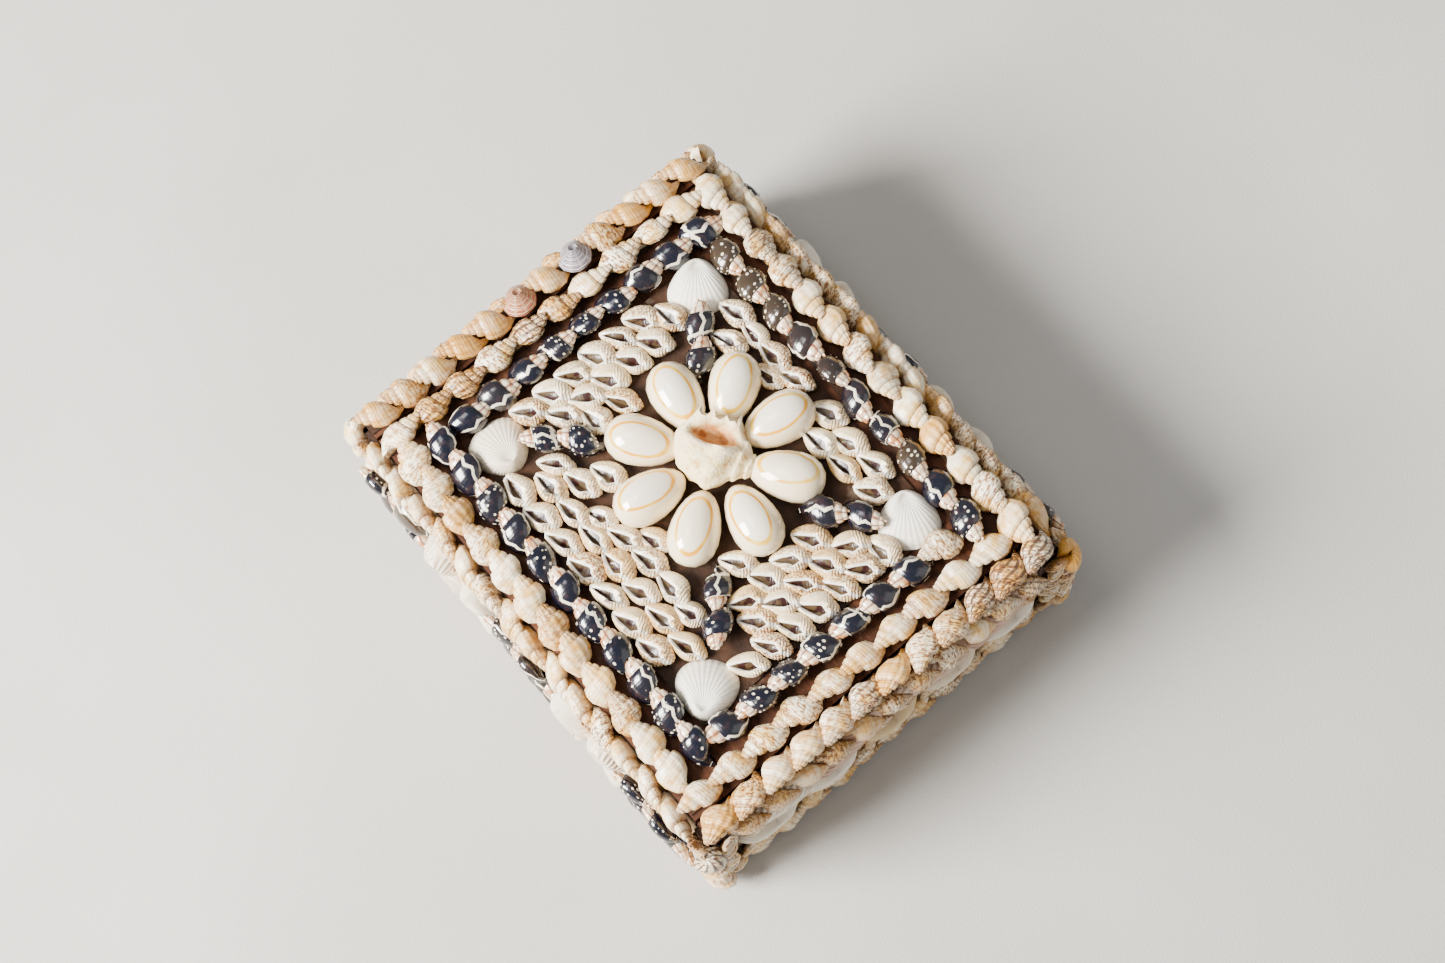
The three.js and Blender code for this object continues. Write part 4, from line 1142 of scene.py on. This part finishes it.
larger = flower + cockles + [shell for pair in pairs for shell in pair] + [whelk]
fields = field_places(larger)
for k, side in enumerate(SIDES):
    corners = [FIELD_CORNERS[k], FIELD_CORNERS[(k + 1) % 4], FLOWER]
    cuts = []
    for a, b in zip(corners[1:], corners[2:] + corners[:1]):
        ex, ey = b[0] - a[0], b[1] - a[1]
        span = math.hypot(ex, ey)
        away = (ey / span, -ex / span)
        cuts.append(((a[0] - 0.01 * away[0], a[1] - 0.01 * away[1]), away))
    low = tuple(min(c[a] for c in corners) + MITRE for a in (0, 1))
    high = tuple(max(c[a] for c in corners) - MITRE for a in (0, 1))
    parts = [bed(LID, (low, high), FIELD_BED, GLUE, cuts, 2.5)]
    parts += [pale_shell(LID, shell, FIELD_BED) for shell in fields[side]]
    shells_piece("pale_field_" + side, parts)

HALF_BAND = {side: (SIDE_OUTER if side in ("front", "back") else END_OUTER) - CORNER for side in SIDES}


def wall_row(side, height, count, sizes, slant, seed, back=False):
    """A row along a wall, between its corners; back turns it round."""
    half = HALF_BAND[side] - SHELL_GAP
    ends = [(-half, height), (half, height)]
    if back:
        ends.reverse()
    return row_places(*ends, count, sizes, seed, slant)


for k, (side, away) in enumerate((("front", -1), ("back", 1))):
    y = away * (END_INNER + END_BOARD / 2 + RIM_OUT)
    ends = [(away * SIDE_OUTER, y), (-away * SIDE_OUTER, y)]
    kind = back_rim_shell if side == "back" else mixed_shell
    rim = row_places(*ends, 12, RIM, 1400 + 30 * k, 20)
    rope = wall_row(side, LID_TOP - ROPE_DROP, 11, RIM, 14, 1520 + 30 * k)
    for shell in rim:
        shell["heading"] += -33 if side == "back" else 196
    for shell in rope:
        shell["heading"] -= 44
    row_piece("rim_row_" + side, LID, rim, kind, GLUE)
    row_piece("rope_row_" + side, WALLS[side], rope, mixed_shell, PLASTER)
for k, side in enumerate(("left", "right")):
    rim = wall_row(side, LID_TOP - SIDE_RIM_DROP, 14, RIM, 8, 1460 + 30 * k)
    row_piece("rim_row_" + side, WALLS[side], rim, bulging_shell, GLUE)

FOOT_TIERS = {"front": 2, "right": 1, "back": 1, "left": 1}
for k, side in enumerate(SIDES):
    wall, half = WALLS[side], HALF_BAND[side]
    count = 11 if side in ("front", "back") else 13
    parts = [bed(wall, ((-half, FOOT_HEIGHT - 4), (half, FOOT_HEIGHT + (FOOT_TIERS[side] - 1) * FOOT_PITCH + 4)),
                 ROW_BED, PLASTER)]
    for tier in range(FOOT_TIERS[side]):
        height, seed = FOOT_HEIGHT + tier * FOOT_PITCH, 1600 + 60 * k + 20 * tier
        shells = wall_row(side, height, count, FOOT, 12, seed, bool(tier))
        parts += [foot_shell(wall, shell, ROW_BED) for shell in shells]
    shells_piece("foot_rows_" + side, parts)

for k, side in enumerate(("front", "back")):
    wall, half = WALLS[side], HALF_BAND[side]
    inner = half - SHELL_GAP
    bottom = FOOT_HEIGHT + (FOOT_TIERS[side] - 0.5) * FOOT_PITCH + BAND_GAP
    top = LID_TOP - ROPE_DROP - RIM[0] / 2 - BAND_GAP
    split = top - LONG_VALVE_TIER
    long_valves = tiers_of((-inner, inner, split, top - SHELL_GAP), 4, 1, *LONG_VALVE, 2000 + 50 * k,
                           lambda column, tier: 180 if column % 2 else 0)
    fans = tiers_of((-inner, inner, bottom + SHELL_GAP, split), 5, 1, *FAN_VALVE, 2020 + 50 * k,
                    lambda column, tier: 90)
    parts = [bed(wall, ((-half, bottom), (half, top)), END_BED, PLASTER)]
    for shell, tone in zip(long_valves, (0.1, 0.9, 0.7, 0.85)):
        parts.append(set_down("smooth", wall, shell, "tellin", tone, 0.7, 0, END_BED, 1.1, 1.08))
    for shell, tone in zip(fans, (0.3, 0.2, 1.0, 0.5, 0.2)):
        parts.append(set_down("fan", wall, shell, "cockle", tone, 0.5, 0, END_BED, 1.12, 1.1))
    edge = half - 2
    between = row_places((-edge, split), (edge, split), 12, SPLIT_FILL, 2040 + 50 * k, 25)
    between += row_places((edge, bottom + 2.2), (-edge, bottom + 2.2), 10, FOOT_FILL, 2060 + 50 * k, 30)
    parts += [mixed_shell(wall, shell, END_BED) for shell in between]
    shells_piece("wall_band_" + side, parts)

for k, side in enumerate(("left", "right")):
    wall, half = WALLS[side], HALF_BAND[side]
    bottom = FOOT_HEIGHT + FOOT_PITCH / 2 + BAND_GAP
    top = LID_TOP - SIDE_RIM_DROP - RIM[0] / 2 - BAND_GAP
    low, high = bottom + SHELL_GAP, top - SHELL_GAP
    cluster_at = half - SHELL_GAP - CLUSTER_WIDTH / 2
    parts = [bed(wall, ((-half, bottom), (half, top)), SIDE_BED, PLASTER)]
    for i, u in enumerate((-cluster_at, 0, cluster_at)):
        shells = tiers_of((u - CLUSTER_WIDTH / 2, u + CLUSTER_WIDTH / 2, low, high), 2, 4, *CLUSTER,
                          2100 + 80 * k + 20 * i, lambda column, tier: 172 if tier % 2 else -8)
        shells += row_places((u, bottom + 2), (u, top - 2), 4, CLUSTER_FILL, 2500 + 80 * k + 20 * i, 18)
        parts += [olive_dark_shell(wall, shell, SIDE_BED) for shell in shells]
    for i, end in enumerate((-1, 1)):
        middle, width = end * cluster_at / 2, (cluster_at - CLUSTER_WIDTH) / 2
        valves = tiers_of((middle - width, middle + width, low, high), 2, 2, *SIDE_VALVE,
                          2300 + 40 * k + 10 * i, lambda column, tier: 90 if tier else -90)
        for shell in valves:
            n = shell["seed"]
            form = one_of(("fan", "smooth"), n)
            look = "cockle" if form == "fan" else "tellin"
            parts.append(set_down(form, wall, shell, look, 0.4 * chance(n + 0.2), 0.4, 14 * vary(n + 0.4),
                                  SIDE_BED - 0.4, 1.16, 1.16, 14))
        gaps = row_places((middle, bottom + 3), (middle, top - 3), 4, VALVE_FILL, 2400 + i, 20)
        parts += [mixed_shell(wall, shell, SIDE_BED) for shell in gaps]
    shells_piece("wall_band_" + side, parts)

LEG = CORNER - SHELL_GAP
HEAP_BOTTOM = 1
HEAP_TOP = LID_TOP - SHELL_GAP
CORNER_BED = 1.6
HEAP_SHELL = (9.6, 6.8)
# Large shells up each corner, from below: form, look, tone and pattern
CORNER_LOOKS = {
    "front_left": (("ribbed", "cream", 0.2, 0.3), ("ribbed", "cream", 0.4, 0.4),
                   ("stout", "cream", 0.1, 0.2), ("stout", "cream", 0.0, 0.97)),
    "front_right": (("stout", "cream", 0.5, 0.2), ("ribbed", "cream", 0.2, 0.7),
                    ("stout", "cream", 0.3, 0.6), ("olive", "cream", 0.95, 0.0)),
    "back_right": (("ribbed", "cream", 0.3, 0.3), ("plump", "dark", 0.9, 0.3),
                   ("ribbed", "cream", 0.8, 0.3), ("stout", "cream", 0.2, 0.1)),
    "back_left": (("stout", "cream", 0.0, 0.0), ("ribbed", "cream", 0.1, 0.0),
                  ("stout", "cream", 0.0, 0.1), ("stout", "cream", 0.1, 0.0)),
}
UP = Vector((0, 0, 1))
for i, (name, (sx, sy)) in enumerate(zip(CORNER_LOOKS, ((-1, -1), (1, -1), (1, 1), (-1, 1)))):
    edge = Vector((sx * SIDE_OUTER, sy * END_OUTER, 0))
    parts = []
    for axis, away in ((0, sx), (1, sy)):
        out = Vector((away, 0, 0) if axis == 0 else (0, away, 0))
        along = Vector((0, -sy, 0) if axis == 0 else (-sx, 0, 0))
        strip = face_of(edge + along * (LEG / 2 - CORNER_BED / 2), UP, out.cross(UP))
        half = (LEG + CORNER_BED) / 2
        parts.append(bed(strip, ((HEAP_BOTTOM, -half), (HEAP_TOP - 4, half)), CORNER_BED, GLUE))
        small = row_places((HEAP_BOTTOM + 2, 0), (HEAP_TOP - 3, 0), 6, CORNER_FILL, 2600 + 20 * i + 7 * axis, 8)
        for shell in small:
            shell["at"] = (shell["at"][0], 1.2 * vary(shell["seed"]))
            parts.append(cream_shell(strip, shell, CORNER_BED))
    diagonal = Vector((sx, sy, 0)).normalized()
    on = face_of(edge + diagonal * (CORNER_BED - 0.6) * 2 ** 0.5, UP, diagonal.cross(UP))
    pitch = (HEAP_TOP - HEAP_BOTTOM) / 4
    for j, (form, look, tone, pattern) in enumerate(CORNER_LOOKS[name]):
        n = 2500 + 10 * i + j
        at = (HEAP_BOTTOM + (j + 0.5) * pitch, 0.6 * vary(n))
        shell = a_shell(at, 180 * (j % 2) + 8 * vary(i + 3 * j), pitch, *HEAP_SHELL, n)
        parts.append(set_down(form, on, shell, look, tone, pattern, 30 * vary(i + 7 * j), 0, 1.04))
    shells_piece("corner_heap_" + name, parts)

for form in FORMS.values():
    bpy.data.objects.remove(form)

for name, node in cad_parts.items():
    if name.endswith("_board"):
        node.data.materials.clear()
        node.data.materials.append(WOOD)

# ------------------------------------------------------------------ stage, light and camera
begin()
bpy.ops.mesh.primitive_plane_add(size=14, location=(0, 0, 0))
floor = taken_up("floor")
floor.data.materials.append(cloth_finish())
floor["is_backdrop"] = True

for name, spot, size, power, color in (
    ("window", (-1.0, 0.35, 0.8), 0.6, 104, (1.0, 0.985, 0.955)),
    ("fill", (0.9, -0.9, 0.9), 1.2, 4, (1.0, 0.98, 0.95)),
    ("top", (-0.3, 0.5, 1.5), 0.5, 6, (1.0, 1.0, 1.0)),
):
    lamp = bpy.data.lights.new(name, "AREA")
    lamp.size, lamp.energy, lamp.color = size, power, color
    holder = bpy.data.objects.new(name, lamp)
    holder.matrix_world = Matrix.Translation(spot) @ (-Vector(spot)).to_track_quat("-Z", "Y").to_matrix().to_4x4()
    bpy.context.scene.collection.objects.link(holder)
world = bpy.data.worlds.new("soft room")
world.use_nodes = True
world.node_tree.nodes["Background"].inputs["Color"].default_value = (0.95, 0.97, 1.0, 1)
world.node_tree.nodes["Background"].inputs["Strength"].default_value = 0.42
bpy.context.scene.world = world

lens = bpy.data.cameras.new("camera")
lens.lens = 54.81
lens.sensor_width = 36
lens.clip_start = 0.01
camera = bpy.data.objects.new("camera", lens)
camera.matrix_world = Matrix((
    (0.76501, 0.63249, -0.1213, -0.06923),
    (-0.63963, 0.72423, -0.25761, -0.16014),
    (-0.07509, 0.27466, 0.9586, 0.64292),
    (0, 0, 0, 1),
))
bpy.context.scene.collection.objects.link(camera)
bpy.context.scene.camera = camera

low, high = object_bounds()
